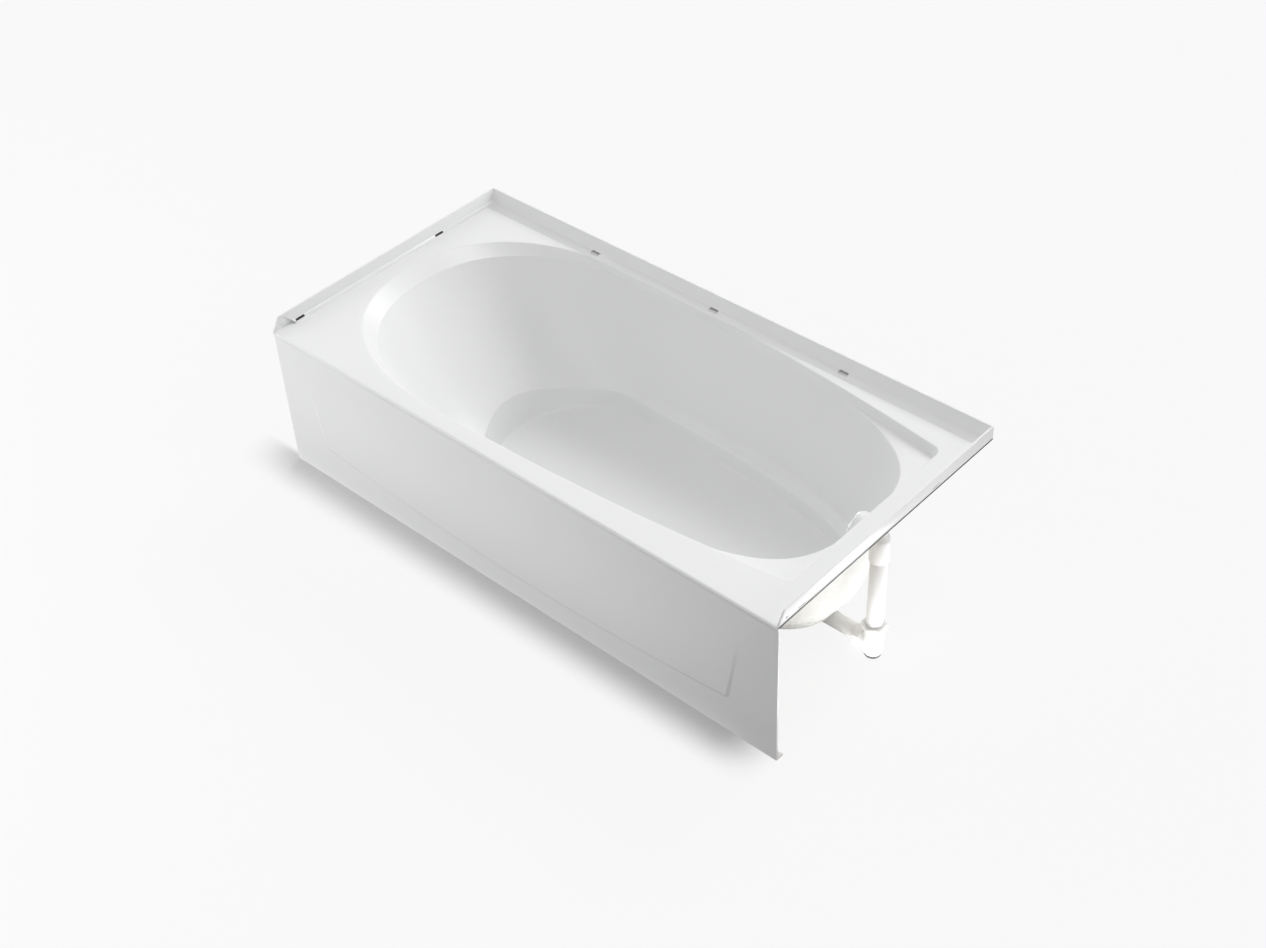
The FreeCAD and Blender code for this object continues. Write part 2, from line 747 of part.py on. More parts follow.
def pipe_x(x0, x1):
    tube = rod_x_way(x0, x1, basin_y, waste_z, pipe_radius)
    return tube.cut(rod_x_way(x0 - 1, x1 + 1, basin_y, waste_z, pipe_bore))


def waste_tee():
    outer = rod_z(riser_x, basin_y, tee_bottom, tee_top, fitting_radius)
    outlet = rod_z(riser_x, basin_y, tee_bottom - outlet_length, tee_bottom + 1, pipe_radius)
    branch = rod_x_way(tee_branch_end, riser_x, basin_y, waste_z, fitting_radius)
    outer = outer.fuse([outlet, branch])
    bore = rod_z(riser_x, basin_y, tee_bottom - outlet_length - 1, tee_top + 1, pipe_bore)
    way = rod_x_way(tee_branch_end - 1, riser_x, basin_y, waste_z, pipe_bore)
    top = rod_z(riser_x, basin_y, tee_top - socket_depth, tee_top + 1, socket_radius)
    end = rod_x_way(tee_branch_end - 1, tee_branch_end + socket_depth * 0.7, basin_y, waste_z,
                    socket_radius)
    return outer.cut([bore, way, top, end]).removeSplitter()


def slip_joints():
    # a hexagon nut over each socket, with a washer inside its mouth
    inner = fitting_radius + nut_wall_gap
    nuts = []
    washers = []
    turns = [math.radians(60 * i + 30) for i in range(6)]
    hexagon = [(nut_radius * math.cos(turn), nut_radius * math.sin(turn)) for turn in turns]
    top = tee_top + washer_thickness + 2
    nut = prism([Vector(riser_x + a, basin_y + b, top - nut_length) for a, b in hexagon],
                Vector(0, 0, nut_length))
    nut = nut.cut([rod_z(riser_x, basin_y, top - nut_length - 1, top - 2, inner),
                   rod_z(riser_x, basin_y, top - 3, top + 1, socket_radius)])
    nuts.append(nut)
    ring = rod_z(riser_x, basin_y, tee_top, tee_top + washer_thickness - skin_gap, fitting_radius)
    washers.append(ring.cut(rod_z(riser_x, basin_y, tee_top - 1, top, socket_radius)))
    end = tee_branch_end - washer_thickness - 2
    nut = prism([Vector(end, basin_y + a, waste_z + b) for a, b in hexagon],
                Vector(nut_length, 0, 0))
    nut = nut.cut([rod_x_way(end + 2, end + nut_length + 1, basin_y, waste_z, inner),
                   rod_x_way(end - 1, end + 3, basin_y, waste_z, socket_radius)])
    nuts.append(nut)
    ring = rod_x_way(tee_branch_end - washer_thickness + skin_gap, tee_branch_end, basin_y,
                     waste_z, fitting_radius)
    washers.append(ring.cut(rod_x_way(end, tee_branch_end + 1, basin_y, waste_z, socket_radius)))
    save(compound(nuts), "slip_nuts")
    save(compound(washers), "slip_washers")


def overflow_head():
    body = rod_z(riser_x, basin_y, head_socket_bottom, head_top - head_outer_radius,
                 head_outer_radius)
    dome = Part.makeSphere(head_outer_radius, Vector(riser_x, basin_y,
                                                     head_top - head_outer_radius))
    throat = rod_x_way(head_face, riser_x, basin_y, overflow_z, head_throat_radius + fitting_wall)
    flange = rod_x_way(head_face, head_face + head_flange_thickness, basin_y, overflow_z,
                       head_flange_radius)
    outer = body.fuse([dome, throat, flange])
    bore = rod_z(riser_x, basin_y, head_socket_bottom - 1, overflow_z, pipe_bore)
    way = rod_x_way(head_face - 1, riser_x, basin_y, overflow_z, head_throat_radius)
    crown = Part.makeSphere(head_throat_radius, Vector(riser_x, basin_y, overflow_z))
    socket = rod_z(riser_x, basin_y, head_socket_bottom - 1, head_socket_bottom + socket_depth,
                   socket_radius)
    holes = [rod_x_way(head_face - 1, head_face + head_flange_thickness + 1,
                       basin_y + s * plate_screw_offset, overflow_z, screw_radius + skin_gap / 2)
             for s in (-1, 1)]
    return outer.cut([bore, way, crown, socket] + holes).removeSplitter()


def overflow_gasket():
    x0 = pad_face + skin_gap
    x1 = x0 + gasket_thickness
    ring = rod_x_way(x0, x1, basin_y, overflow_z, head_flange_radius)
    return ring.cut(rod_x_way(x0 - 1, x1 + 1, basin_y, overflow_z,
                              plate_screw_offset + screw_radius + 1))


def overflow_plate():
    # a shallow dished cover with a slot for the lever
    x1 = boss_face
    x0 = x1 - plate_thickness
    rim = 1.5
    profile = [Vector(x1, basin_y, overflow_z), Vector(x1, basin_y, overflow_z + plate_radius),
               Vector(x1 - rim, basin_y, overflow_z + plate_radius),
               Vector(x0, basin_y, overflow_z + plate_radius - 3 * rim),
               Vector(x0 - plate_dome * 0.7, basin_y, overflow_z + plate_radius * 0.5),
               Vector(x0 - plate_dome, basin_y, overflow_z)]
    wire = Part.makePolygon(profile + [profile[0]])
    plate = Part.Face(wire).revolve(Vector(x1, basin_y, overflow_z), Vector(1, 0, 0), 360)
    slot = box(x0 - 2 * plate_dome, x1 + 1, basin_y - plate_slot_width / 2,
               basin_y + plate_slot_width / 2, overflow_z - plate_slot_height / 2,
               overflow_z + plate_slot_height / 2)
    holes = [rod_x_way(x0 - 2 * plate_dome, x1 + 1, basin_y + s * plate_screw_offset, overflow_z,
                       screw_radius + skin_gap / 2) for s in (-1, 1)]
    return plate.cut([slot] + holes)


def overflow_screws():
    screws = []
    for s in (-1, 1):
        y = basin_y + s * plate_screw_offset
        face = boss_face - plate_thickness - plate_dome
        head = rod_x_way(face - screw_head_height, face, y, overflow_z, screw_head_radius)
        shank = rod_x_way(face - 1, head_face + head_flange_thickness, y, overflow_z, screw_radius)
        screws.append(head.fuse(shank))
    return compound(screws)


# trip lever

def lever_bracket():
    # two ears behind the plate that carry the pin
    gap = lever_width / 2 + ear_gap
    ears = []
    reach = lever_pivot_x + lever_hub_radius
    for s in (-1, 1):
        y0 = basin_y + (gap if s > 0 else -gap - ear_thickness)
        ear = box(boss_face, reach, y0, y0 + ear_thickness, overflow_z - lever_hub_radius,
                  overflow_z + lever_hub_radius)
        foot_y0 = basin_y + (gap if s > 0 else -gap - 3 * ear_thickness)
        foot = box(boss_face, boss_face + ear_thickness, foot_y0, foot_y0 + 3 * ear_thickness,
                   overflow_z - 2 * lever_hub_radius, overflow_z + 2 * lever_hub_radius)
        ears.append(ear.fuse(foot))
    hole = rod_y_way(lever_pivot_x, basin_y - 20, basin_y + 20, overflow_z, pin_radius)
    return compound([ear.cut(hole).removeSplitter() for ear in ears])


def lever_pin():
    reach = lever_width / 2 + ear_gap + ear_thickness
    return rod_y_way(lever_pivot_x, basin_y - reach, basin_y + reach, overflow_z, pin_radius)


def trip_lever():
    # drawn level, then turned to its resting slope
    w = lever_width / 2
    h = lever_height / 2
    front = boss_face - plate_thickness - plate_dome - lever_reach
    arm_end = lever_pivot_x + lever_arm + rod_slot_length / 2 + 2
    body = box(front, arm_end, basin_y - w, basin_y + w, overflow_z - h, overflow_z + h)
    eye = box(lever_pivot_x + lever_arm - rod_slot_length, arm_end, basin_y - w, basin_y + w,
              overflow_z - rod_slot_height / 2 - 2, overflow_z + rod_slot_height / 2 + 2)
    hub = rod_y_way(lever_pivot_x, basin_y - w, basin_y + w, overflow_z, lever_hub_radius)
    finger = Part.makeSphere(w + 2, Vector(front, basin_y, overflow_z))
    body = body.fuse([eye, hub, finger])
    slot_mid = lever_pivot_x + lever_arm
    slot = box(slot_mid - rod_slot_length / 2, slot_mid + rod_slot_length / 2,
               basin_y - w - 1, basin_y + w + 1,
               overflow_z - rod_slot_height / 2, overflow_z + rod_slot_height / 2)
    bore = rod_y_way(lever_pivot_x, basin_y - w - 1, basin_y + w + 1, overflow_z,
                     pin_radius + pin_clearance)
    body = body.cut([slot, bore]).removeSplitter()
    body.rotate(Vector(lever_pivot_x, basin_y, overflow_z), Vector(0, 1, 0), -lever_throw / 2)
    return body


def lift_rod():
    y = basin_y + rod_offset
    eye = Vector(rod_x, y, rod_eye_z)
    jog_top = Vector(rod_x, y, rod_jog_top)
    jog_low = Vector(riser_x, basin_y, rod_jog_bottom)
    end = Vector(riser_x, basin_y, rod_bottom)
    peg = rod_y_way(rod_x, basin_y - lever_width / 2 - 2, y, rod_eye_z, rod_peg_radius)
    collar = rod_z(riser_x, basin_y, spring_top, spring_top + spring_collar,
                   spring_radius + spring_wire)
    pieces = [rod_between(jog_top, eye, rod_radius), rod_between(jog_low, jog_top, rod_radius),
              rod_between(end, jog_low, rod_radius), peg, collar]
    joints = [Part.makeSphere(rod_radius, p) for p in (eye, jog_top, jog_low)]
    return pieces[0].fuse(pieces[1:] + joints).removeSplitter()


def lift_spring():
    # an open coil between the rod's collar and the rocker's tail
    coil = Part.makeHelix(spring_pitch, spring_pitch * spring_turns, spring_radius)
    start = Vector(spring_radius, 0, 0)
    way = Vector(0, 2 * math.pi * spring_radius, spring_pitch)
    wire = Part.Wire([Part.makeCircle(spring_wire, start, way)])
    spring = Part.Wire(coil).makePipeShell([wire], True, True)
    spring.translate(Vector(riser_x, basin_y, spring_bottom + spring_wire))
    return spring


def rocker_arm():
    pivot = Vector(rocker_pivot_x, basin_y, waste_z)
    nose = Vector(drain_x, basin_y, nose_z)
    tail = Vector(riser_x, basin_y, tail_z)
    reach = pipe_bore - 2 * skin_gap
    arms = [rod_between(pivot, nose, rocker_radius), rod_between(pivot, tail, rocker_radius),
            rod_y_way(rocker_pivot_x, basin_y - reach, basin_y + reach, waste_z, rocker_radius)]
    ends = [Part.makeSphere(rocker_radius + 0.4, pivot), Part.makeSphere(rocker_tip_radius, nose),
            Part.makeSphere(rocker_tip_radius, tail)]
    return arms[0].fuse(arms[1:] + ends).removeSplitter()


os.makedirs("parts", exist_ok=True)
save(bath_shell(), "bath_shell")
save(laminate_backing(), "laminate_backing")
apron_rails()
rim_rails()
base()
apron_ties()
save(drain_flange(), "drain_flange")
save(drain_gasket(), "drain_gasket")
save(waste_shoe(), "waste_shoe")
stopper()
save(pipe_x(shoe_socket_end - socket_depth + 1, tee_branch_end + socket_depth * 0.7 - 1), "waste_pipe")
save(waste_tee(), "waste_tee")
save(pipe_z(tee_top - socket_depth + 1, head_socket_bottom + socket_depth - 1), "overflow_pipe")
slip_joints()
save(overflow_head(), "overflow_head")
save(overflow_gasket(), "overflow_gasket")
save(overflow_plate(), "overflow_plate")
save(overflow_screws(), "overflow_screws")
save(lever_bracket(), "lever_bracket")
save(lever_pin(), "lever_pin")
save(trip_lever(), "trip_lever")
save(lift_rod(), "lift_rod")
save(lift_spring(), "lift_spring")
save(rocker_arm(), "rocker_arm")
print("lever throw", lever_throw, "rod travel", round(rod_travel, 3),
      "rocker", round(math.degrees(rocker_angle), 3), "stopper lift", round(stopper_lift, 3))
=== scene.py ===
import json
import math

import bmesh
import bpy
import numpy as np
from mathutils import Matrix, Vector

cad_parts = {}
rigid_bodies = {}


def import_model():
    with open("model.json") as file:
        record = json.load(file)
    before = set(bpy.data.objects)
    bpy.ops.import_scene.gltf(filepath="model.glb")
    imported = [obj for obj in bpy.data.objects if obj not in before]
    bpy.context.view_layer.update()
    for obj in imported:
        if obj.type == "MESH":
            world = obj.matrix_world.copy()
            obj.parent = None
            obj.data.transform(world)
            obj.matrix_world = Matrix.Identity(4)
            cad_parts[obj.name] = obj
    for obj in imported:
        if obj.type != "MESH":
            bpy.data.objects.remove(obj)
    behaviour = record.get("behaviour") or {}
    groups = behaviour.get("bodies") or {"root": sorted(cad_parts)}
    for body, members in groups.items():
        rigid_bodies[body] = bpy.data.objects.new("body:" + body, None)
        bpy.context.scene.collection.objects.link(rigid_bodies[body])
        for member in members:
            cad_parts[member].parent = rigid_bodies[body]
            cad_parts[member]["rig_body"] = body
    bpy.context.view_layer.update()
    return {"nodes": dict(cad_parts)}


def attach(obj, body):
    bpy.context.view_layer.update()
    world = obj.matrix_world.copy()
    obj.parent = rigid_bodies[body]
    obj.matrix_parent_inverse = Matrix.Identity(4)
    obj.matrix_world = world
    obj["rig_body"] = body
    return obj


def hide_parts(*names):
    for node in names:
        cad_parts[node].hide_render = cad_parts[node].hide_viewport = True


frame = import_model()
nodes = frame["nodes"]

# working by hand: selecting, placing, modifiers


def clearSelection():
    if bpy.context.object and bpy.context.object.mode != "OBJECT":
        bpy.ops.object.mode_set(mode="OBJECT")
    bpy.ops.object.select_all(action="DESELECT")


def startPiece(name):
    piece = bpy.context.object
    piece.name = name
    piece.data.name = name
    return piece


def pick(piece):
    clearSelection()
    piece.select_set(True)
    bpy.context.view_layer.objects.active = piece


def place(piece):
    # the place goes into the mesh, so that patterns stay put
    pick(piece)
    bpy.ops.object.transform_apply(location=True, rotation=True, scale=True)


def useModifier(piece, kind, **settings):
    pick(piece)
    modifier = piece.modifiers.new(kind.lower(), kind)
    for name, value in settings.items():
        setattr(modifier, name, value)
    bpy.ops.object.modifier_apply(modifier=modifier.name)


def smooth(piece, angle):
    pick(piece)
    bpy.ops.object.shade_smooth_by_angle(angle=math.radians(angle))


def tidyMesh(piece, gap=0.00002, outward=True):
    pick(piece)
    bpy.ops.object.mode_set(mode="EDIT")
    bpy.ops.mesh.select_all(action="SELECT")
    bpy.ops.mesh.remove_doubles(threshold=gap)
    if outward:
        bpy.ops.mesh.normals_make_consistent(inside=False)
    bpy.ops.object.mode_set(mode="OBJECT")


def finishPiece(piece, material, replaced, body="bath"):
    piece.data.materials.clear()
    piece.data.materials.append(material)
    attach(piece, body)
    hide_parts(*replaced)


def turnFaces(piece, axis, sign):
    # an open sheet's faces all turned to the side that will be seen
    if sign * sum(face.normal[axis] * face.area for face in piece.data.polygons) < 0:
        pick(piece)
        bpy.ops.object.mode_set(mode="EDIT")
        bpy.ops.mesh.select_all(action="SELECT")
        bpy.ops.mesh.flip_normals()
        bpy.ops.object.mode_set(mode="OBJECT")


# shader maths


class Shade:
    def __init__(self, tree, socket=None):
        self.tree = tree
        self.socket = socket

    def node(self, kind, settings=None, inputs=None, output=0):
        made = self.tree.nodes.new(kind)
        for name, value in (settings or {}).items():
            setattr(made, name, value)
        for name, value in (inputs or {}).items():
            self.plug(made.inputs[name], value)
        return Shade(self.tree, made.outputs[output])

    def plug(self, target, value):
        if isinstance(value, Shade):
            self.tree.links.new(value.socket, target)
        else:
            target.default_value = value

    def maths(self, operation, first, second=0.0):
        return self.node("ShaderNodeMath", {"operation": operation}, {0: first, 1: second})

    def __add__(self, other):
        return self.maths("ADD", self, other)

    def __radd__(self, other):
        return self.maths("ADD", other, self)

    def __sub__(self, other):
        return self.maths("SUBTRACT", self, other)

    def __rsub__(self, other):
        return self.maths("SUBTRACT", other, self)

    def __mul__(self, other):
        return self.maths("MULTIPLY", self, other)

    def __rmul__(self, other):
        return self.maths("MULTIPLY", other, self)

    def near(self, centre, reach):
        return self.node("ShaderNodeMath", {"operation": "COMPARE"}, {0: self, 1: centre, 2: reach})

    def mixColours(self, first, second):
        return self.node("ShaderNodeMix", {"data_type": "RGBA"},
                         {0: self, 6: (*first, 1.0), 7: (*second, 1.0)}, output=2)


def newMaterial(name):
    material = bpy.data.materials.new(name)
    material.use_nodes = True
    tree = material.node_tree
    tree.nodes.clear()
    shade = Shade(tree)
    surface = tree.nodes.new("ShaderNodeBsdfPrincipled")
    output = tree.nodes.new("ShaderNodeOutputMaterial")
    tree.links.new(surface.outputs[0], output.inputs[0])
    return material, shade, surface


def objectPlace(shade, scale=(1, 1, 1)):
    coords = shade.node("ShaderNodeTexCoord", output=3)
    return shade.node("ShaderNodeMapping", None, {"Vector": coords, "Scale": scale})


def noise(shade, spot, scale, detail=3.0, roughness=0.5):
    return shade.node("ShaderNodeTexNoise", None,
                      {"Vector": spot, "Scale": scale, "Detail": detail, "Roughness": roughness})


def bump(shade, surface, height, distance):
    made = shade.node("ShaderNodeBump", None, {"Height": height, "Distance": distance, "Strength": 1.0})
    shade.plug(surface.inputs["Normal"], made)


nailSlots = {
    "length": 0.026,
    "height": 0.004,
    "rise": 0.403,
    "back": (-0.381, 0.0, 0.381),
    "side": (-0.297, 0.160),
    # where the flange's sheet lies: (middle, half its depth, how strong the painted shade inside the slots
    # is)
    "backSheet": (0.36, 0.03, 0.2),
    "leftSheet": (-0.755, 0.02, 1.0),
    "lengthMargin": 0.0002,
    "heightMargin": 0.0001,
}
smoothUnder = {"basin": 40, "apron": 40, "flange": 26, "boss": 30}      # degrees
sheetLook = {
    "pale": (0.82, 0.822, 0.824),
    "paler": (0.84, 0.842, 0.844),
    "roughness": 0.30,
    "roughnessSpread": 0.04,
    "shine": 0.42,
    "cloudScale": 3.0,
    "fineScale": 90.0,
    "rippleScale": 14.0,
    "ripple": 0.00002,
    # painted shade: the colour laid inside the nail slots
    "slotShadeColour": (0.07, 0.065, 0.055),
}


def makeSheetMaterial():
    material, shade, surface = newMaterial("glossWhiteSheet")
    spot = objectPlace(shade)
    cloud = noise(shade, spot, sheetLook["cloudScale"])
    fine = noise(shade, spot, sheetLook["fineScale"], 2.0)
    white = cloud.mixColours(sheetLook["pale"], sheetLook["paler"])
    # painted shade: the inside of the nail slots is coloured dark, as if in shadow
    colour = shade.node("ShaderNodeMix", {"data_type": "RGBA"},
                        {0: paintedSlotShade(shade, spot), 6: white, 7: (*sheetLook["slotShadeColour"], 1.0)},
                        output=2)
    shade.plug(surface.inputs["Base Color"], colour)
    shade.plug(surface.inputs["Roughness"],
               sheetLook["roughness"] + sheetLook["roughnessSpread"] * (fine - 0.5))
    surface.inputs["Specular IOR Level"].default_value = sheetLook["shine"]
    bump(shade, surface, noise(shade, spot, sheetLook["rippleScale"], 1.0), sheetLook["ripple"])
    return material


# painted shade: a mask of the nail slots, fully dark at the left end and a fifth as dark at the back
def paintedSlotShade(shade, spot):
    split = shade.node("ShaderNodeSeparateXYZ", None, {"Vector": spot}).socket.node
    x, y, z = [Shade(shade.tree, socket) for socket in split.outputs]
    reach = nailSlots["length"] / 2 + nailSlots["lengthMargin"]
    back = left = 0.0
    for middle in nailSlots["back"]:
        back = back + x.near(middle, reach)
    for middle in nailSlots["side"]:
        left = left + y.near(middle, reach)
    backAt, backReach, backPaintedShade = nailSlots["backSheet"]
    leftAt, leftReach, leftPaintedShade = nailSlots["leftSheet"]
    back = back * y.near(backAt, backReach) * backPaintedShade
    left = left * x.near(leftAt, leftReach) * leftPaintedShade
    return (back + left) * z.near(nailSlots["rise"], nailSlots["height"] / 2 + nailSlots["heightMargin"])


laminateLook = {
    "resin": (0.78, 0.775, 0.74),
    "strand": (0.86, 0.86, 0.84),
    "strandScale": 60.0,
    "lie": ((1, 6, 3), (5, 1, 2), (2, 3, 7)),   # how each layer of strands is stretched
    "contrast": (0.4, 0.6),
    "roughness": (0.42, 0.25),
    "swell": 1.5,
    "depth": 0.0012,
}


def makeLaminateMaterial():
    # chopped glass strands in resin
    material, shade, surface = newMaterial("choppedLaminate")
    spot = objectPlace(shade)
    warp = noise(shade, spot, 9.0, 2.0)
    strands = 0.0
    for stretch in laminateLook["lie"]:
        strands = strands + noise(shade, objectPlace(shade, stretch), laminateLook["strandScale"], 4.0, 0.7)
    low, high = laminateLook["contrast"]
    contrast = shade.node("ShaderNodeMapRange", None,
                          {"Value": strands * 0.333, "From Min": low, "From Max": high})
    shade.plug(surface.inputs["Base Color"],
               contrast.mixColours(laminateLook["resin"], laminateLook["strand"]))
    least, spread = laminateLook["roughness"]
    shade.plug(surface.inputs["Roughness"], least + spread * warp)
    bump(shade, surface, contrast + laminateLook["swell"] * warp, laminateLook["depth"])
    return material


timberLook = {
    "dark": (0.42, 0.25, 0.11),
    "light": (0.68, 0.49, 0.28),
    "rings": 55.0,
    "pores": 700.0,
    "stretch": 0.06,
    "roughness": (0.55, 0.2),
    "depth": 0.0003,
}


def makeTimberMaterial(name, along):
    # growth rings stretched along the board, with fine pores
    material, shade, surface = newMaterial(name)
    stretch = [1.0, 1.0, 1.0]
    stretch[along] = timberLook["stretch"]
    spot = objectPlace(shade, tuple(stretch))
    rings = shade.node("ShaderNodeTexWave",
                       {"wave_type": "RINGS", "rings_direction": "XYZ"[along]},
                       {"Vector": spot, "Scale": timberLook["rings"], "Distortion": 5.0,
                        "Detail": 3.0, "Detail Scale": 1.6})
    pores = noise(shade, spot, timberLook["pores"], 2.0)
    tone = 0.75 * rings + 0.35 * pores
    shade.plug(surface.inputs["Base Color"],
               tone.mixColours(timberLook["light"], timberLook["dark"]))
    least, spread = timberLook["roughness"]
    shade.plug(surface.inputs["Roughness"], least + spread * pores)
    bump(shade, surface, tone, timberLook["depth"])
    return material


boardLook = {
    "dark": (0.36, 0.22, 0.10),
    "light": (0.70, 0.52, 0.30),
    "flakes": 55.0,
    "grain": 120.0,
    "roughness": (0.5, 0.3),
    "depth": 0.0005,
}


def makeBoardMaterial():
    # pressed flakes
    material, shade, surface = newMaterial("flakeBoard")
    spot = objectPlace(shade, (1, 2.2, 1))
    flakes = shade.node("ShaderNodeTexVoronoi", None, {"Vector": spot, "Scale": boardLook["flakes"]},
                        output=1)
    tone = shade.node("ShaderNodeSeparateColor", None, {"Color": flakes})
    grain = noise(shade, objectPlace(shade, (1, 9, 9)), boardLook["grain"], 3.0)
    mixed = 0.6 * tone + 0.4 * grain
    least, spread = boardLook["roughness"]
    shade.plug(surface.inputs["Base Color"], mixed.mixColours(boardLook["dark"], boardLook["light"]))
    shade.plug(surface.inputs["Roughness"], least + spread * grain)
    bump(shade, surface, mixed, boardLook["depth"])
    return material


plainLooks = {
    "zincSteel": {"colours": ((0.50, 0.51, 0.53), (0.66, 0.67, 0.69)), "metal": 1.0,
                  "roughness": (0.28, 0.2), "scale": 38.0, "depth": 0.00006},
    "polishedChrome": {"colours": ((0.80, 0.81, 0.83), (0.86, 0.87, 0.88)), "metal": 1.0,
                       "roughness": (0.05, 0.06), "scale": 22.0, "depth": 0.000005},
    "turnedBrass": {"colours": ((0.60, 0.43, 0.17), (0.75, 0.56, 0.25)), "metal": 1.0,
                    "roughness": (0.2, 0.2), "scale": 60.0, "depth": 0.00003},
    "blackRubber": {"colours": ((0.018, 0.018, 0.019), (0.045, 0.045, 0.046)), "metal": 0.0,
                    "roughness": (0.55, 0.25), "scale": 160.0, "depth": 0.00012},
    "blackFoam": {"colours": ((0.03, 0.03, 0.03), (0.08, 0.08, 0.08)), "metal": 0.0,
                  "roughness": (0.8, 0.15), "scale": 480.0, "depth": 0.0005},
    "whitePipe": {"colours": ((0.82, 0.82, 0.81), (0.87, 0.87, 0.86)), "metal": 0.0,
                  "roughness": (0.3, 0.15), "scale": 45.0, "depth": 0.00005},
    "nylonWasher": {"colours": ((0.66, 0.65, 0.58), (0.76, 0.75, 0.69)), "metal": 0.0,
                    "roughness": (0.4, 0.2), "scale": 90.0, "depth": 0.00004},
}


cloudShare = 0.2                # how much wider the clouds of colour are than the fine grain


def makePlainMaterial(name, look):
    material, shade, surface = newMaterial(name)
    spot = objectPlace(shade)
    cloud = noise(shade, spot, look["scale"] * cloudShare, 3.0)
    fine = noise(shade, spot, look["scale"], 3.0)
    least, spread = look["roughness"]
    shade.plug(surface.inputs["Base Color"], cloud.mixColours(*look["colours"]))
    shade.plug(surface.inputs["Roughness"], least + spread * fine)
    surface.inputs["Metallic"].default_value = look["metal"]
    bump(shade, surface, fine, look["depth"])
    return material


sheetMaterial = makeSheetMaterial()
laminateMaterial = makeLaminateMaterial()
timberAlong = {"x": makeTimberMaterial("timberAlongX", 0), "y": makeTimberMaterial("timberAlongY", 1),
               "z": makeTimberMaterial("timberAlongZ", 2)}
boardMaterial = makeBoardMaterial()
plainMaterials = {name: makePlainMaterial(name, look) for name, look in plainLooks.items()}
print("materials made")

# camera

camera = {
    "place": (2.29271, -2.35100, 2.97426),
    "turn": (48.97135, 2.16553, 41.89974),
    "lens": 52.4406,
}
bpy.ops.object.camera_add(location=camera["place"],
                          rotation=[math.radians(a) for a in camera["turn"]])
photoCamera = bpy.context.object
photoCamera.data.lens = camera["lens"]
photoCamera.data.sensor_width = 36.0
bpy.context.scene.camera = photoCamera

# basin and deck

basin = {
    "centreY": 0.007,
    "spin": (0.06, 0.007),      # every outline is a ring round this point
    "around": 432,
    "edgeX": 0.762,
    "backY": 0.371,
    "noseY": -0.357,            # where the apron's sheet takes over
    "deck": 0.397,
    "recessFloor": 0.377,
    "thickness": 0.004,
    "recess": {"left": -0.7035, "right": 0.700, "half": 0.333, "widest": -0.258,
               "side": 6.323, "corner": 0.020, "power": 2.3},
    "recessDraft": 0.007,
    # ovals: (left, right, where it is widest, half its width, power to the left, to the right)
    "opening": (-0.658, 0.6925, -0.258, 0.3245, 2.2, 3.35),
    "bowl": (-0.334, 0.650, 0.088, 0.245, 3.6, 2.4),
    "bowlFoot": 0.120,
    "bow": 0.15,                # how much of the wall's slope is kept for its foot
    "pan": (-0.346, 0.623, -0.162, 0.215, 2.0, 2.8),
    "panFloor": 0.078,
    "panTop": 0.172,            # the wall meets the pan's side below this
    "panDraft": 0.32,
    "panDraftLeft": 0.52,
    # how far each corner is rounded, from the recess's edge to the foot of the pan
    "rounding": (0.0030, 0.0028, 0.0038, 0.0060, 0.0034, 0.0044),
    "between": (3, 1, 2, 14, 2, 4, 12),     # points along each stretch between corners
    "leave": 1.3,               # a corner's points reach this many roundings away
    "leaveMost": 0.7,           # but no more than this share of half a stretch
    "wallSoft": 0.004,
    "softSteps": 9,             # samples of the mean that rounds the corners
    "softEnd": 0.06,
    "wallSteps": 12,
    "dish": 0.06,               # how the recess floor falls towards the opening
    "dishMost": 0.003,
    "dishFrom": 0.004,
    "tuckGap": 0.0003,
    "leftGap": 0.001,
    "ledgeFall": 0.010,         # from the foot of the wall to the edge of the pan
    "ledgeShare": 0.6,
    "footShare": 0.7,           # how much of the fall lies above the ledge's middle
    "spread": ((2, 0.0030), (4, 0.0060)),   # corner, and the least half gap to the next
    # how the rings' points are shared out round the recess
    "fine": 3600,
    "leastStep": 0.0006,
    "turnShare": 0.14,
    "turnMost": 0.2,
}
farOut = 1.2                    # beyond every outline
halvings = {"outline": 26, "wallFoot": 20}
nearZero = 1e-9


def ovalHolds(spec, x, y):
    left, right, widest, half, powerLeft, powerRight = spec
    reach, power = (right - widest, powerRight) if x > widest else (widest - left, powerLeft)
    return (abs(x - widest) / reach) ** power + (abs(y - basin["centreY"]) / half) ** power < 1


def recessHolds(shrink, x, y):
    shape = basin["recess"]
    away = abs(y - basin["centreY"])
    half = shape["half"] - shrink
    right = shape["right"] - shrink
    if x < shape["widest"]:
        # at the left end the recess's foot follows the opening
        left = shape["left"] if shrink == 0 else basin["opening"][0] - basin["leftGap"]
        power = shape["power"] if shrink == 0 else basin["opening"][4]
        return ((shape["widest"] - x) / (shape["widest"] - left)) ** power + (away / half) ** power < 1

    def sideAt(spot):
        return half - shape["side"] + math.sqrt(shape["side"] ** 2 - (spot - shape["widest"]) ** 2)

    if x > right or away > sideAt(x):
        return False
    cornerX = right - shape["corner"]
    cornerAway = sideAt(cornerX) - shape["corner"]
    if x > cornerX and away > cornerAway:
        return math.hypot(x - cornerX, away - cornerAway) < shape["corner"]
    return True


def reachTo(holds, angle):
    # how far out an outline lies, by halving
    near, far = 0.0, farOut
    for _ in range(halvings["outline"]):
        middle = (near + far) / 2
        x = basin["spin"][0] + middle * math.cos(angle)
        y = basin["spin"][1] + middle * math.sin(angle)
        if holds(x, y):
            near = middle
        else:
            far = middle
    return (near + far) / 2


def recessReach(angle, shrink):
    return reachTo(lambda x, y: recessHolds(shrink, x, y), angle)


def ovalReach(angle, spec):
    return reachTo(lambda x, y: ovalHolds(spec, x, y), angle)


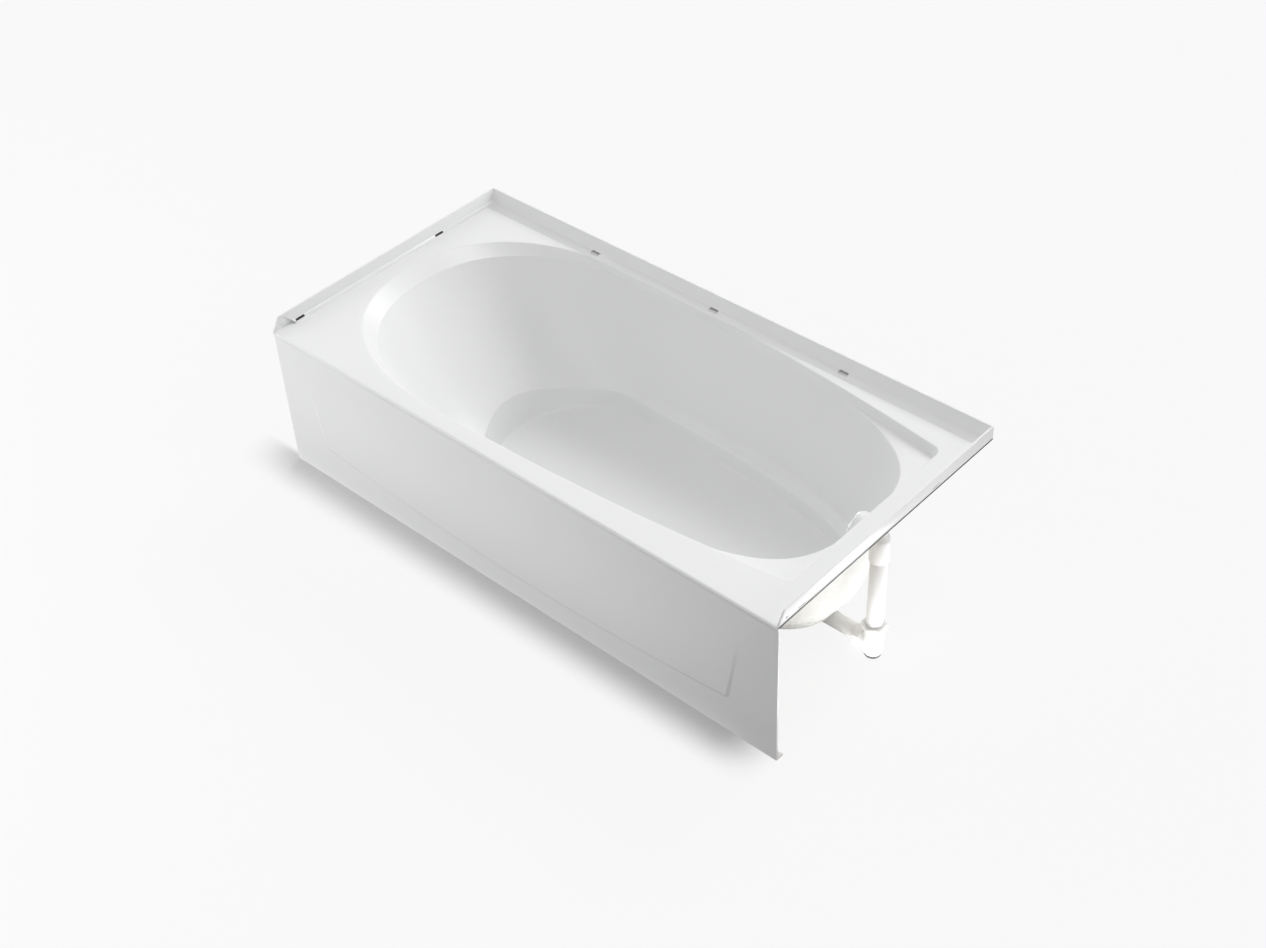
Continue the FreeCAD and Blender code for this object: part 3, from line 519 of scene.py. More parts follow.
def reachToEdge(angle):
    x, y = basin["spin"]
    wayX, wayY = math.cos(angle), math.sin(angle)
    runs = []
    if abs(wayX) > nearZero:
        runs.append(((basin["edgeX"] if wayX > 0 else -basin["edgeX"]) - x) / wayX)
    if abs(wayY) > nearZero:
        runs.append(((basin["backY"] if wayY > 0 else basin["noseY"]) - y) / wayY)
    return min(runs)


def spinAngles():
    # more points where the outlines turn sharply, and one at each corner of the deck
    fine = basin["fine"]
    spread = []
    last = None
    lastWay = None
    for i in range(fine + 1):
        angle = 2 * math.pi * i / fine
        reach = recessReach(angle, 0.0)
        spot = (reach * math.cos(angle), reach * math.sin(angle))
        if last:
            length = math.hypot(spot[0] - last[0], spot[1] - last[1])
            way = math.atan2(spot[1] - last[1], spot[0] - last[0])
            turn = 0.0
            if lastWay is not None:
                turn = abs((way - lastWay + math.pi) % (2 * math.pi) - math.pi)
            spread.append(length + basin["leastStep"]
                          + basin["turnShare"] * min(turn, basin["turnMost"]))
            lastWay = way
        last = spot
    total = np.concatenate([[0.0], np.cumsum(spread)])
    marks = np.linspace(0, total[-1], basin["around"], endpoint=False)
    angles = list(np.interp(marks, total, np.linspace(0, 2 * math.pi, fine + 1)))
    for x in (-basin["edgeX"], basin["edgeX"]):
        for y in (basin["noseY"], basin["backY"]):
            corner = math.atan2(y - basin["spin"][1], x - basin["spin"][0]) % (2 * math.pi)
            nearest = min(range(len(angles)), key=lambda i: abs(angles[i] - corner))
            angles[nearest] = corner
    return angles


def bowlSpec(height):
    t = (basin["recessFloor"] - height) / (basin["recessFloor"] - basin["bowlFoot"])
    mix = (1 - basin["bow"]) * t + basin["bow"] * t ** 4
    return [a + (b - a) * mix for a, b in zip(basin["opening"], basin["bowl"])]


def panSpec(height):
    out = (height - basin["panFloor"]) * basin["panDraft"]
    outLeft = (height - basin["panFloor"]) * basin["panDraftLeft"]
    left, right, widest, half, powerLeft, powerRight = basin["pan"]
    return (left - outLeft, right + out, widest, half + out, powerLeft, powerRight)


def bowlReach(angle, height, tuck):
    t = (basin["recessFloor"] - height) / (basin["recessFloor"] - basin["bowlFoot"])
    return ovalReach(angle, bowlSpec(height)) - tuck * (1 - t) ** 2


def panReach(angle, height):
    return ovalReach(angle, panSpec(height))


def basinCorners(angle):
    # (reach, height) down one side of the basin, from the deck's edge to the middle of the floor
    deckReach = recessReach(angle, 0.0)
    footReach = recessReach(angle, basin["recessDraft"])
    openReach = ovalReach(angle, basin["opening"])
    # where the opening would cut into the recess's foot, the wall is drawn in
    tuck = max(0.0, openReach - footReach + basin["tuckGap"])
    dish = min(basin["dishMost"],
               basin["dish"] * max(0.0, footReach - openReach - basin["dishFrom"]))
    wallFoot = basin["bowlFoot"]
    stepIn = panReach(angle, wallFoot)
    if stepIn >= bowlReach(angle, wallFoot, tuck):
        # no ledge here: the wall runs into the pan's side higher up
        low, high = wallFoot, basin["panTop"]
        for _ in range(halvings["wallFoot"]):
            middle = (low + high) / 2
            if panReach(angle, middle) > bowlReach(angle, middle, tuck):
                low = middle
            else:
                high = middle
        wallFoot = (low + high) / 2
        stepIn = panReach(angle, wallFoot)
    wallSteps = basin["wallSteps"]
    wall = []
    for i in range(1, wallSteps):
        height = basin["recessFloor"] + (wallFoot - basin["recessFloor"]) * i / wallSteps
        wall.append((bowlReach(angle, height, tuck), height - dish * (1 - i / wallSteps) ** 2))
    ledge = max(bowlReach(angle, wallFoot, tuck) - stepIn, 0.0)
    fall = min(basin["ledgeFall"], basin["ledgeShare"] * ledge)
    footAt = wallFoot + basin["footShare"] * fall
    stepAt = footAt - fall
    stepIn = panReach(angle, stepAt)
    marks = [
        (reachToEdge(angle), basin["deck"]),
        (deckReach, basin["deck"]),
        (footReach, basin["recessFloor"]),
        (openReach - tuck, basin["recessFloor"] - dish),
        (max(bowlReach(angle, footAt, tuck), stepIn), footAt),
        (stepIn, stepAt),
        (panReach(angle, basin["panFloor"]), basin["panFloor"]),
        (0.0, basin["panFloor"]),
    ]
    return marks, wall


def profileAlong(angle):
    # the corners rounded, with the same number of points on every side
    marks, wall = basinCorners(angle)
    line = marks[:4] + wall + marks[4:]
    places = np.array(line)
    steps = np.hypot(*(places[1:] - places[:-1]).T)
    along = np.concatenate([[0.0], np.cumsum(steps)])
    markIndex = [0, 1, 2, 3, 4 + len(wall), 5 + len(wall), 6 + len(wall), 7 + len(wall)]
    stations = [along[i] for i in markIndex]
    # where two corners nearly meet, their points are spread over a little of the sheet
    for first, least in basin["spread"]:
        middle = (stations[first] + stations[first + 1]) / 2
        half = max((stations[first + 1] - stations[first]) / 2, least)
        stations[first] = middle - half
        stations[first + 1] = middle + half
    rounding = [0.0] + list(basin["rounding"]) + [0.0]
    wallStretch = 3
    spots = [0.0]
    widths = [0.0]
    for k in range(len(stations) - 1):
        start, end = stations[k], stations[k + 1]
        half = (end - start) / 2
        leave = min(rounding[k] * basin["leave"], half * basin["leaveMost"])
        arrive = min(rounding[k + 1] * basin["leave"], half * basin["leaveMost"])
        if k > 0:
            for share in (0.33, 0.66, 1.0):
                spots.append(start + leave * share)
                widths.append(rounding[k])
        inner = end - arrive - (start + leave)
        for i in range(1, basin["between"][k] + 1):
            share = i / (basin["between"][k] + 1)
            spots.append(start + leave + inner * share)
            widths.append(basin["wallSoft"] if k == wallStretch else 0.0)
        if k < len(stations) - 2:
            for share in (1.0, 0.66, 0.33, 0.0):
                spots.append(end - arrive * share)
                widths.append(rounding[k + 1])
        else:
            spots.append(end)
            widths.append(0.0)
    spots = np.array(spots)
    widths = np.array(widths)
    # each point is the weighted mean of the line round it, over its own width
    offsets = np.linspace(-1, 1, basin["softSteps"])
    weights = 1 - np.abs(offsets)
    weights[[0, -1]] = basin["softEnd"]
    weights /= weights.sum()
    reach = np.zeros(len(spots))
    height = np.zeros(len(spots))
    for offset, weight in zip(offsets, weights):
        at = np.clip(spots + offset * widths * basin["leave"], 0, along[-1])
        reach += weight * np.interp(at, along, places[:, 0])
        height += weight * np.interp(at, along, places[:, 1])
    return reach, height


angles = spinAngles()
profiles = [profileAlong(angle) for angle in angles]
ringCount = len(profiles[0][0])
around = len(angles)
print("basin outlines", around, "by", ringCount)


def makeBasin():
    clearSelection()
    bpy.ops.mesh.primitive_grid_add(x_subdivisions=around, y_subdivisions=ringCount - 1, size=1)
    piece = startPiece("bathBasin")
    for vertex in piece.data.vertices:
        row, column = divmod(vertex.index, around + 1)
        column %= around
        reach, height = profiles[column]
        vertex.co = (basin["spin"][0] + reach[row] * math.cos(angles[column]),
                     basin["spin"][1] + reach[row] * math.sin(angles[column]), height[row])
    place(piece)
    tidyMesh(piece, 0.00001)
    turnFaces(piece, 2, 1)
    useModifier(piece, "SOLIDIFY", thickness=basin["thickness"], offset=-1.0)
    return piece


# apron

apron = {
    "noseRadius": 0.0045,
    "noseDrop": 0.0047,         # below the deck, where the nose starts to tuck in
    "coveEnd": 0.0155,
    "setBack": 0.0030,          # flat face behind the nose
    "footRadius": 0.0035,
    "lip": 0.022,
    "rowGap": 0.001,            # between the rows of the face and of the foot
    "noseRun": 0.002,
    "panelDepth": 0.0030,
    "panelHalf": 0.631,
    "panelPast": 0.03,          # beyond the panel's end the curve of its foot stays level
    "panelLean": 0.17,
    "leanReach": 0.1,
    "panelEnd": 0.107,
    "panelSag": 0.070,
    "panelTop": 0.300,          # where the panel has run out into the flat face
    "panelFull": 0.100,         # below this it stands out by its whole depth
    "edgeWidth": 0.011,
    # rows over and under the panel's lower edge
    "edgeLifts": (0.012, 0.0095, 0.0075, 0.006, 0.0045, 0.003, 0.0015, 0.0),
    "columns": 75,              # from the middle to the panel's end
    "edgeColumns": 7,           # on each side of the panel's end
    "edgeColumnGap": 0.0015,
    "endColumns": 16,
    "endColumnsFrom": 0.02,
}


def step(value, low, high):
    t = min(max((value - low) / (high - low), 0.0), 1.0)
    return t * t * (3 - 2 * t)


def panelBottom(x):
    radius = (apron["panelHalf"] ** 2 / (apron["panelEnd"] - apron["panelSag"])
              + (apron["panelEnd"] - apron["panelSag"])) / 2
    held = min(abs(x), apron["panelHalf"] + apron["panelPast"])
    return apron["panelSag"] + radius - math.sqrt(radius ** 2 - held ** 2)


def panelSide(height):
    return apron["panelHalf"] + apron["panelLean"] * (height - apron["panelEnd"])


def panelProud(x, height):
    edge = apron["edgeWidth"]
    depth = apron["panelDepth"] * min(1.0, max(0.0, (apron["panelTop"] - height)
                                               / (apron["panelTop"] - apron["panelFull"])))
    inside = step(panelSide(height) - abs(x), -edge / 2, edge / 2)
    return depth * inside * step(height - panelBottom(x), -edge / 2, edge / 2)


def apronRows(x):
    # (y, height) down the apron at one place along it
    noseY = -basin["backY"]
    radius = apron["noseRadius"]
    deck = basin["deck"]
    face = noseY + apron["setBack"]
    rows = [(basin["noseY"], deck), (noseY + radius + apron["noseRun"], deck)]
    for i in range(7):
        turn = math.pi / 2 * i / 6
        rows.append((noseY + radius * (1 - math.sin(turn)), deck - radius * (1 - math.cos(turn))))
    rows.append((noseY, deck - apron["noseDrop"]))
    for i in range(1, 7):
        share = i / 6
        height = deck - apron["noseDrop"] - share * (apron["coveEnd"] - apron["noseDrop"])
        rows.append((noseY + apron["setBack"] * step(share, 0, 1), height))
    top = deck - apron["coveEnd"]
    bottom = panelBottom(x)
    heights = []
    for i in range(1, 8):
        heights.append(top + (apron["panelTop"] - top) * i / 8)
    edge = apron["edgeLifts"][0]
    for i in range(14):
        heights.append(apron["panelTop"] + (bottom + edge - apron["panelTop"]) * i / 14)
    for lift in apron["edgeLifts"]:
        heights.append(bottom + lift)
    for lift in reversed(apron["edgeLifts"][:-1]):
        heights.append(bottom - lift)
    low = apron["footRadius"] + apron["rowGap"]
    for i in range(1, 7):
        heights.append(bottom - edge + (low - bottom + edge) * i / 6)
    for height in heights:
        rows.append((face - panelProud(x, height), height))
    foot = apron["footRadius"]
    for i in range(6):
        turn = math.pi / 2 * i / 5
        rows.append((face + foot * (1 - math.cos(turn)), foot * (1 - math.sin(turn))))
    rows.append((face + apron["lip"], 0.0))
    return rows


def apronColumns():
    # places along the apron, closer together round the panel's ends
    half = basin["edgeX"]
    side = apron["panelHalf"]
    fine = apron["edgeColumns"]
    away = apron["endColumnsFrom"]
    spots = list(np.linspace(0, side - away, apron["columns"]))
    spots += [side + apron["edgeColumnGap"] * i for i in range(-fine, fine + 1)]
    spots += list(np.linspace(side + away, half, apron["endColumns"]))
    return [-s for s in reversed(spots[1:])] + spots


def makeApron():
    columns = apronColumns()
    rowCount = len(apronRows(0.0))
    clearSelection()
    bpy.ops.mesh.primitive_grid_add(x_subdivisions=len(columns) - 1, y_subdivisions=rowCount - 1, size=1)
    piece = startPiece("bathApron")
    tables = {}
    for vertex in piece.data.vertices:
        row, column = divmod(vertex.index, len(columns))
        along = columns[column]
        if column not in tables:
            tables[column] = apronRows(along)
        y, height = tables[column][row]
        # columns near the panel's ends lean with them
        lean = apron["panelLean"] * max(0.0, height - apron["panelEnd"])
        near = max(0.0, 1 - abs(abs(along) - apron["panelHalf"]) / apron["leanReach"])
        x = along + math.copysign(lean * near, along)
        faceTop = basin["deck"] - apron["coveEnd"] - apron["rowGap"]
        if apron["footRadius"] < height < faceTop:
            y = -basin["backY"] + apron["setBack"] - panelProud(x, height)
        vertex.co = (x, y, height)
    place(piece)
    tidyMesh(piece, 0.00001, outward=False)
    turnFaces(piece, 1, -1)
    useModifier(piece, "SOLIDIFY", thickness=basin["thickness"], offset=-1.0)
    return piece


# tiling flanges

flange = {
    # (in from the side, in from the back, height), from the outer foot over the top to the deck
    "profile": [
        (0.0000, 0.0000, 0.3925),
        (0.0000, 0.0000, 0.4300),
        (0.0040, 0.0040, 0.4300),
        (0.0115, 0.0210, 0.4055),
        (0.0155, 0.0270, 0.4040),
        (0.0172, 0.0400, 0.3984),
        (0.0182, 0.0424, 0.3962),
        (0.0182, 0.0424, 0.3945),
    ],
    "front": -0.371,
    "lug": 0.028,
    "lugRun": 0.034,
    "lugThickness": 0.004,
    "slant": 0.022,
    "lugHole": (0.026, 0.407, 0.0026),      # in from the front, height, radius
    "top": 0.431,               # just over the flange
    "below": 0.006,             # the cutters reach this far under the deck
    "ahead": 0.03,
    "bevel": 0.0009,
    "sharp": 24,                # degrees: what turns more than this is rounded
}
cutters = {
    "wide": 0.8,                # beyond both ends
    "outside": 0.005,           # the slots are cut from this far outside
    "backDeep": 0.06,
    "sideDeep": 0.03,
    "holePoints": 20,
}


def makeFlange():
    # the section drawn at the left front end, then run round the three walls
    clearSelection()
    bpy.ops.mesh.primitive_circle_add(vertices=len(flange["profile"]), radius=0.01, fill_type="NOTHING")
    piece = startPiece("tilingFlange")
    bpy.ops.object.mode_set(mode="EDIT")
    bpy.ops.mesh.select_all(action="SELECT")
    turns = [lambda side, back: (-basin["edgeX"] + side, flange["front"]),
             lambda side, back: (-basin["edgeX"] + side, basin["backY"] - back),
             lambda side, back: (basin["edgeX"] - side, basin["backY"] - back),
             lambda side, back: (basin["edgeX"] - side, flange["front"])]
    for index, turn in enumerate(turns):
        if index:
            bpy.ops.mesh.extrude_edges_move()
        mesh = bmesh.from_edit_mesh(piece.data)
        mesh.verts.ensure_lookup_table()
        chosen = [v for v in mesh.verts if v.select]
        for vertex, (side, back, height) in zip(chosen, flange["profile"]):
            x, y = turn(side, back)
            vertex.co = (x, y, height)
        bmesh.update_edit_mesh(piece.data)
    bpy.ops.mesh.select_all(action="DESELECT")
    bpy.ops.mesh.select_non_manifold()
    bpy.ops.mesh.edge_face_add()
    bpy.ops.object.mode_set(mode="OBJECT")
    place(piece)
    tidyMesh(piece)
    return piece


def addCutter(points, way, name):
    # a prism drawn as a ring of points and run along one way
    clearSelection()
    bpy.ops.mesh.primitive_circle_add(vertices=len(points), radius=0.01, fill_type="NGON")
    piece = startPiece(name)
    bpy.ops.object.mode_set(mode="EDIT")
    mesh = bmesh.from_edit_mesh(piece.data)
    mesh.verts.ensure_lookup_table()
    for vertex, point in zip(mesh.verts, points):
        vertex.co = point
    bmesh.update_edit_mesh(piece.data)
    bpy.ops.mesh.select_all(action="SELECT")
    bpy.ops.mesh.extrude_region_move(TRANSFORM_OT_translate={"value": way})
    bpy.ops.object.mode_set(mode="OBJECT")
    place(piece)
    tidyMesh(piece)
    return piece


def slotOutline(length, height, steps=6):
    # a long hole, round at both ends
    radius = height / 2
    reach = length / 2 - radius
    points = []
    for side, start in ((1, -math.pi / 2), (-1, math.pi / 2)):
        for i in range(steps + 1):
            turn = start + math.pi * i / steps
            points.append((side * reach + radius * math.cos(turn), radius * math.sin(turn)))
    return points


def cutAway(piece, cuts):
    for cutter in cuts:
        useModifier(piece, "BOOLEAN", operation="DIFFERENCE", object=cutter, solver="EXACT")
    clearSelection()
    for cutter in cuts:
        cutter.select_set(True)
    bpy.ops.object.delete()


def shapeFlange(piece):
    front = flange["front"]
    ahead = front - flange["ahead"]
    top = flange["top"]
    deck = basin["deck"]
    below = flange["below"]
    wide = cutters["wide"]
    # behind the lug the flange's inner part runs down to the deck
    inner = basin["edgeX"] - flange["lugThickness"]
    thickFrom = front + flange["lug"]
    thickFoot = thickFrom + flange["lugRun"] * (1 + below / (top - deck))
    runOut = [(-inner, ahead, deck - below), (-inner, thickFoot, deck - below),
              (-inner, thickFrom, top), (-inner, ahead, top)]
    # and the lug's front edge is slanted
    slantFoot = front - flange["slant"] * below / (top - deck)
    slant = [(-wide, ahead, deck - below), (-wide, slantFoot, deck - below),
             (-wide, front + flange["slant"], top), (-wide, ahead, top)]
    cuts = [addCutter(runOut, (2 * inner, 0, 0), "runOutCut"), addCutter(slant, (2 * wide, 0, 0), "slantCut")]
    outline = slotOutline(nailSlots["length"], nailSlots["height"])
    rise = nailSlots["rise"]
    for x in nailSlots["back"]:
        points = [(x + a, basin["backY"] + cutters["outside"], rise + b) for a, b in outline]
        cuts.append(addCutter(points, (0, -cutters["backDeep"], 0), "backSlotCut"))
    for side in (-1, 1):
        for y in nailSlots["side"]:
            points = [(side * (basin["edgeX"] + cutters["outside"]), y + a, rise + b) for a, b in outline]
            cuts.append(addCutter(points, (-side * cutters["sideDeep"], 0, 0), "sideSlotCut"))
    inFrom, height, radius = flange["lugHole"]
    count = cutters["holePoints"]
    ring = [(-wide, front + inFrom + radius * math.cos(t), height + radius * math.sin(t))
            for t in [2 * math.pi * i / count for i in range(count)]]
    cuts.append(addCutter(ring, (2 * wide, 0, 0), "lugHoleCut"))
    cutAway(piece, cuts)
    tidyMesh(piece, 0.00001)
    useModifier(piece, "BEVEL", width=flange["bevel"], segments=3, limit_method="ANGLE",
                angle_limit=math.radians(flange["sharp"]), use_clamp_overlap=True, harden_normals=False)
    smooth(piece, smoothUnder["flange"])


# overflow boss and the holes through the sheet

boss = {
    "face": 0.674,
    "back": 0.7,
    "height": 0.345,
    "radius": 0.0375,
    "edge": 0.003,
    "hole": 0.026,
    "holePoints": 64,
    "holeTurn": 0.37,           # so that no point of a hole falls on an edge of the sheet
}
drain = {"x": 0.538, "radius": 0.025, "from": 0.06, "depth": 0.04}
overflowCut = {"from": boss["face"] - 0.01, "depth": 0.06}


def makeBoss():
    clearSelection()
    depth = boss["back"] - boss["face"]
    bpy.ops.mesh.primitive_cylinder_add(vertices=96, radius=boss["radius"], depth=depth,
                                        location=(boss["face"] + depth / 2, basin["centreY"],
                                                  boss["height"]),
                                        rotation=(0, math.pi / 2, 0))
    piece = startPiece("overflowBoss")
    place(piece)
    bpy.ops.object.mode_set(mode="EDIT")
    mesh = bmesh.from_edit_mesh(piece.data)
    for face in mesh.faces:
        face.select_set(face.normal.x < -0.9)
    bmesh.update_edit_mesh(piece.data)
    bpy.ops.mesh.bevel(offset=boss["edge"], segments=6, affect="EDGES")
    bpy.ops.object.mode_set(mode="OBJECT")
    return piece


def throughHole(radius, start, way, name):
    turn = Vector(way).to_track_quat("Z", "Y")
    points = []
    for i in range(boss["holePoints"]):
        angle = 2 * math.pi * (i + boss["holeTurn"]) / boss["holePoints"]
        points.append(Vector(start) + turn @ Vector((radius * math.cos(angle),
                                                      radius * math.sin(angle), 0)))
    return addCutter(points, way, name)


def overflowHole():
    return throughHole(boss["hole"], (overflowCut["from"], basin["centreY"], boss["height"]),
                       (overflowCut["depth"], 0, 0), "overflowCut")


basinPiece = makeBasin()
print("basin made")
cutAway(basinPiece, [
    throughHole(drain["radius"], (drain["x"], basin["centreY"], drain["from"]), (0, 0, drain["depth"]),
                "drainCut"),
    overflowHole(),
])
smooth(basinPiece, smoothUnder["basin"])
finishPiece(basinPiece, sheetMaterial, ["bath_shell"])
apronPiece = makeApron()
smooth(apronPiece, smoothUnder["apron"])
finishPiece(apronPiece, sheetMaterial, ["bath_shell"])
print("apron made")
flangePiece = makeFlange()
shapeFlange(flangePiece)
finishPiece(flangePiece, sheetMaterial, ["bath_shell"])
print("flanges made")
bossPiece = makeBoss()
cutAway(bossPiece, [overflowHole()])
smooth(bossPiece, smoothUnder["boss"])
finishPiece(bossPiece, sheetMaterial, ["bath_shell"])
print("overflow boss made")

# pieces behind and under the moulding: the CAD solid, merged, with broken edges

hidden = {
    # node: (material, slot, how far its edges are broken)
    "laminate_backing": (laminateMaterial, "laminate", 0.0),
    "apron_top_rail": (timberAlong["x"], "timber", 0.0012),
    "apron_bottom_rail": (timberAlong["x"], "timber", 0.0012),
    "apron_post_left": (timberAlong["z"], "timber", 0.0012),
    "apron_post_mid_left": (timberAlong["z"], "timber", 0.0012),
    "apron_post_mid_right": (timberAlong["z"], "timber", 0.0012),
    "apron_post_right": (timberAlong["z"], "timber", 0.0012),
    "rim_rail_left": (timberAlong["y"], "timber", 0.0012),
    "rim_rail_right_front": (timberAlong["y"], "timber", 0.0012),
    "rim_rail_right_back": (timberAlong["y"], "timber", 0.0012),
    "rim_rail_back": (timberAlong["x"], "timber", 0.0012),
    "base_board": (boardMaterial, "board", 0.0006),
    "runner_front": (timberAlong["x"], "timber", 0.0015),
    "runner_back": (timberAlong["x"], "timber", 0.0015),
    "runner_screws": (plainMaterials["zincSteel"], "zinc", 0.0002),
    "floor_pads": (plainMaterials["blackRubber"], "rubber", 0.001),
    "apron_tie_left": (plainMaterials["zincSteel"], "zinc", 0.0006),
    "apron_tie_right": (plainMaterials["zincSteel"], "zinc", 0.0006),
    "tie_screws": (plainMaterials["zincSteel"], "zinc", 0.0004),
    "drain_flange": (plainMaterials["polishedChrome"], "chrome", 0.0004),
    "drain_gasket": (plainMaterials["blackRubber"], "rubber", 0.0004),
    "waste_shoe": (plainMaterials["whitePipe"], "pipework", 0.0006),
    "waste_pipe": (plainMaterials["whitePipe"], "pipework", 0.0004),
    "waste_tee": (plainMaterials["whitePipe"], "pipework", 0.0006),
    "slip_nuts": (plainMaterials["whitePipe"], "pipework", 0.0008),
    "slip_washers": (plainMaterials["nylonWasher"], "washer", 0.0003),
    "overflow_pipe": (plainMaterials["whitePipe"], "pipework", 0.0004),
    "overflow_head": (plainMaterials["whitePipe"], "pipework", 0.0006),
    "overflow_gasket": (plainMaterials["blackFoam"], "foam", 0.0005),
    "overflow_plate": (plainMaterials["polishedChrome"], "chrome", 0.0004),
    "overflow_screws": (plainMaterials["polishedChrome"], "chrome", 0.0004),
    "lever_bracket": (plainMaterials["zincSteel"], "zinc", 0.0002),
    "lever_pin": (plainMaterials["zincSteel"], "zinc", 0.0002),
    "trip_lever": (plainMaterials["polishedChrome"], "chrome", 0.0005),
    "lift_rod": (plainMaterials["turnedBrass"], "brass", 0.0),
    "lift_spring": (plainMaterials["zincSteel"], "zinc", 0.0),
    "rocker_arm": (plainMaterials["turnedBrass"], "brass", 0.0),
    "stopper_cap": (plainMaterials["polishedChrome"], "chrome", 0.0004),
    "stopper_seal": (plainMaterials["blackRubber"], "rubber", 0.0003),
}
smoothAngles = {"laminate_backing": 50, "lift_spring": 40}
usualAngle = 30
edgeSharp = 38                  # degrees: edges sharper than this are broken


def camelName(node):
    first, *rest = node.split("_")
    return first + "".join(word.capitalize() for word in rest)


def refineNode(node, material, slot, edge):
    source = nodes[node]
    body = source["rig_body"]
    piece = source.copy()
    piece.data = source.data.copy()
    bpy.context.scene.collection.objects.link(piece)
    piece.parent = None
    for key in list(piece.keys()):
        del piece[key]
    piece.name = piece.data.name = camelName(node)
    tidyMesh(piece, 0.000002, outward=False)
    if edge:
        bpy.ops.object.mode_set(mode="EDIT")
        bpy.ops.mesh.select_all(action="SELECT")
        bpy.ops.mesh.dissolve_limited(angle_limit=math.radians(0.2))
        bpy.ops.object.mode_set(mode="OBJECT")
        useModifier(piece, "BEVEL", width=edge, segments=2, limit_method="ANGLE",
                    angle_limit=math.radians(edgeSharp), use_clamp_overlap=True)
    smooth(piece, smoothAngles.get(node, usualAngle))
    finishPiece(piece, material, [node], body)


for node, look in hidden.items():
    refineNode(node, *look)

leverTuck = {"face": 0.664, "share": 0.45}


def tuckLever(piece, face, share):
    # the lever's tip lies close in front of the plate
    pick(piece)
    bpy.ops.object.mode_set(mode="EDIT")
    mesh = bmesh.from_edit_mesh(piece.data)
    for vertex in mesh.verts:
        if vertex.co.x < face:
            vertex.co.x = face - (face - vertex.co.x) * share
    bmesh.update_edit_mesh(piece.data)
    bpy.ops.object.mode_set(mode="OBJECT")


tuckLever(bpy.data.objects["tripLever"], leverTuck["face"], leverTuck["share"])
print("hidden pieces made")

# floor and lights

room = {
    "size": 30.0,
    "tone": 0.06,               # the floor away from the apron
    "nearTone": 0.76,           # and along its foot, where the shadow is kept
    "white": 0.958,
    "light": 1.17,              # what the lamps give the open floor
    "nearLightWithPaintedShade": 1.45,          # and what is taken off the glow along the foot: more than the lamps give, so that shade is painted there too
    "air": 0.147,               # even light from all round
    # the strip along the foot, where the lamps' shadow is kept and shade is painted: from nothing to full
    # behind the apron, and how it fades in front
    "shadeFrom": -0.345,
    "shadeFull": -0.366,
    "shadeFade": (-0.373, -0.480),
    "shadeLeft": (-0.93, -0.76),
    "shadeRight": (0.77, 0.62),
}


def ramp(shade, value, low, high):
    # 0 at low, 1 at high, eased at both ends
    return shade.node("ShaderNodeMapRange", {"interpolation_type": "SMOOTHSTEP"},
                      {"Value": value, "From Min": low, "From Max": high})


def whereSeen(tree):
    path = tree.nodes.new("ShaderNodeLightPath")
    seen = Shade(tree, path.outputs["Is Camera Ray"])
    for name in ("Is Glossy Ray", "Is Transmission Ray"):
        seen = seen + Shade(tree, path.outputs[name])
    return seen


def makeFloor():
    clearSelection()
    bpy.ops.mesh.primitive_plane_add(size=room["size"], location=(0, 0, 0))
    floor = startPiece("studioFloor")
    # it glows, to the camera only, by what the lamps don't give it, so that the open floor is even; along the
    # apron's foot the glow is cut further, which paints shade there on top of the lamps' shadow
    material, shade, matte = newMaterial("paleFloor")
    tree = material.node_tree
    split = shade.node("ShaderNodeSeparateXYZ", None, {"Vector": objectPlace(shade)})
    split = split.socket.node
    x = Shade(tree, split.outputs[0])
    y = Shade(tree, split.outputs[1])
    near = (ramp(shade, y, room["shadeFrom"], room["shadeFull"])
            * (1 - ramp(shade, y, *room["shadeFade"]))
            * ramp(shade, x, *room["shadeLeft"]) * ramp(shade, x, *room["shadeRight"]))
    tone = near.mixColours((room["tone"],) * 3, (room["nearTone"],) * 3)
    # painted shade: along the foot the glow falls by more than the lamps' light, darkening the strip
    glowWithPaintedShade = near.mixColours((room["white"] - room["tone"] * room["light"],) * 3,
                           (room["white"] - room["nearTone"] * room["nearLightWithPaintedShade"],) * 3)
    shown = tree.nodes.new("ShaderNodeBsdfPrincipled")
    for surface in (matte, shown):
        shade.plug(surface.inputs["Base Color"], tone)
        surface.inputs["Roughness"].default_value = 1.0
        surface.inputs["Specular IOR Level"].default_value = 0.0
    shade.plug(shown.inputs["Emission Color"], glowWithPaintedShade)
    shown.inputs["Emission Strength"].default_value = 1.0
    both = shade.node("ShaderNodeMixShader", None, {0: whereSeen(tree)})
    tree.links.new(matte.outputs[0], both.socket.node.inputs[1])
    tree.links.new(shown.outputs[0], both.socket.node.inputs[2])
    output = next(node for node in tree.nodes if node.type == "OUTPUT_MATERIAL")
    tree.links.new(both.socket, output.inputs[0])
    floor.data.materials.append(material)


def makeWorld():
    world = bpy.data.worlds.new("studio")
    bpy.context.scene.world = world
    world.use_nodes = True
    tree = world.node_tree
    back = tree.nodes["Background"]
    back.inputs[0].default_value = (1, 1, 1, 1)
    # white to look at and in reflections, and a little light from all round
    strength = room["air"] + (room["white"] - room["air"]) * whereSeen(tree)
    tree.links.new(strength.socket, back.inputs[1])


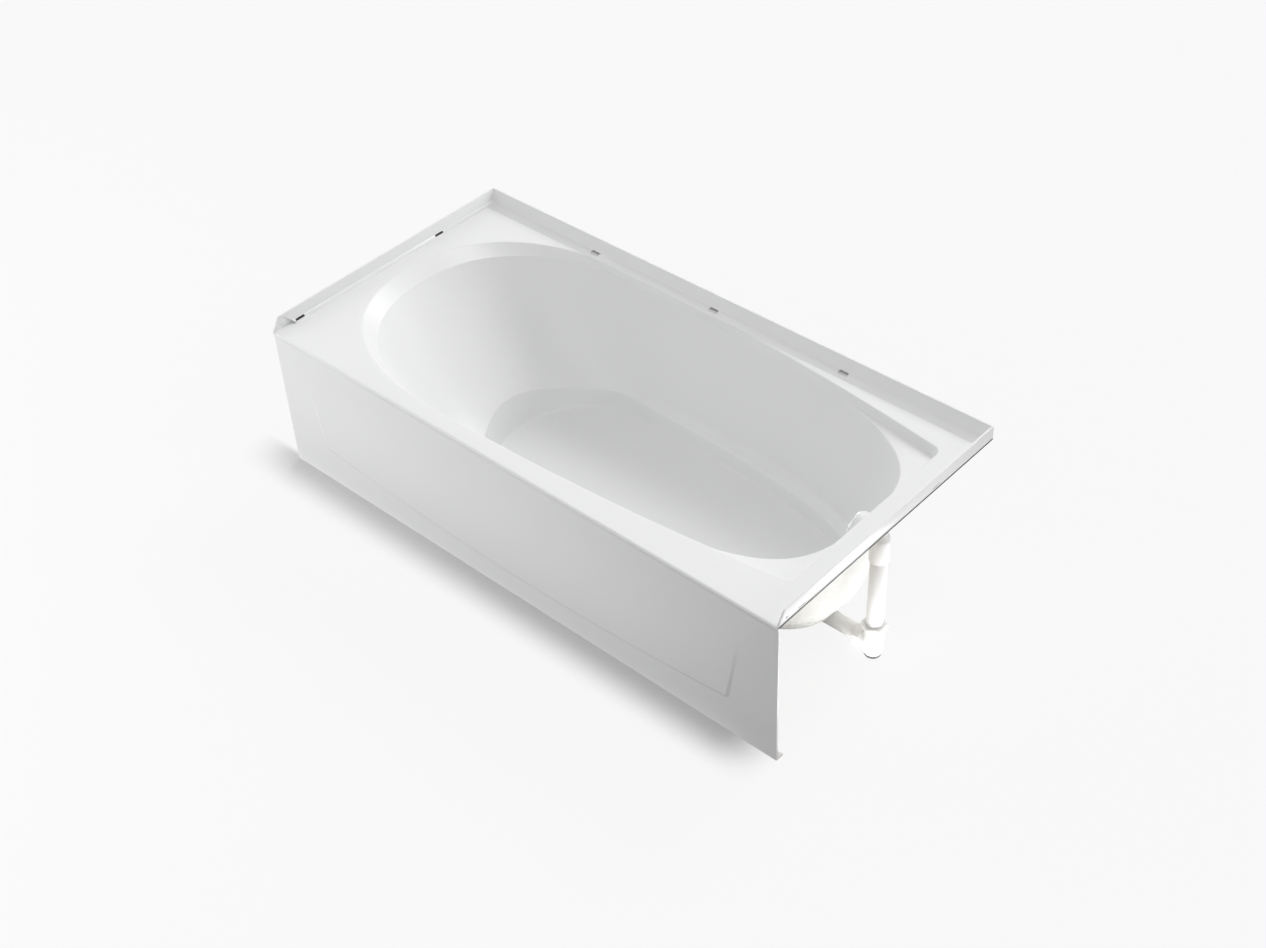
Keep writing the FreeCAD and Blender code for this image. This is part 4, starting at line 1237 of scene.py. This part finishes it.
lamps = {
    # where each wide soft light comes from: (turn from +X, height), its width, all in degrees, strength
    "backRightLow": (45, 12, 50, 1.15),
    "rightLow": (0, 12, 50, 0.25),
    "back": (90, 40, 24, 0.94),
    "leftLow": (180, 12, 50, 0.74),
    "above": (80, 80, 16, 0.49),
    "front": (270, 40, 50, 0.38),
    "backLeftLow": (135, 12, 50, 0.35),
    "backLeft": (120, 40, 24, 0.28),
    "frontRightLow": (315, 12, 50, 0.26),
    "backRightHigh": (45, 62, 24, 0.16),
    "farLeft": (150, 40, 24, 0.065),
    "right": (0, 40, 24, 0.08),
}
panels = {
    # soft panels: (place, aim, width and height, power)
    "softBox": ((-2.6, -2.2, 1.0), (-0.3, -0.3, 0.2), (2.0, 2.0), 27.0),
    "lowFront": ((-1.25, -1.75, 0.13), (-0.5, -0.37, 0.12), (2.6, 0.24), 9.0),
    "floorFront": ((-0.5, -1.5, 0.01), (-0.5, -1.5001, 1.0), (2.0, 2.0), 4.5),
    "underRim": ((0.98, 0.02, 0.01), (0.98, 0.0201, 1.0), (0.6, 0.6), 3.6),
}


def makeLamps():
    for name, (turn, rise, wide, strength) in lamps.items():
        clearSelection()
        bpy.ops.object.light_add(type="SUN")
        lamp = startPiece(name)
        lamp.data.energy = strength
        lamp.data.angle = math.radians(wide)
        turn, rise = math.radians(turn), math.radians(rise)
        way = Vector((math.cos(turn) * math.cos(rise), math.sin(turn) * math.cos(rise), math.sin(rise)))
        lamp.rotation_euler = (-way).to_track_quat("-Z", "Y").to_euler()
    for name, (spot, aim, size, power) in panels.items():
        clearSelection()
        bpy.ops.object.light_add(type="AREA", location=spot)
        lamp = startPiece(name)
        lamp.data.shape = "RECTANGLE"
        lamp.data.size, lamp.data.size_y = size
        lamp.data.energy = power
        lamp.visible_camera = False
        way = Vector(aim) - Vector(spot)
        lamp.rotation_euler = way.to_track_quat("-Z", "Y").to_euler()


makeFloor()
makeWorld()
makeLamps()
bpy.context.scene.view_settings.view_transform = "Standard"
print("room made")
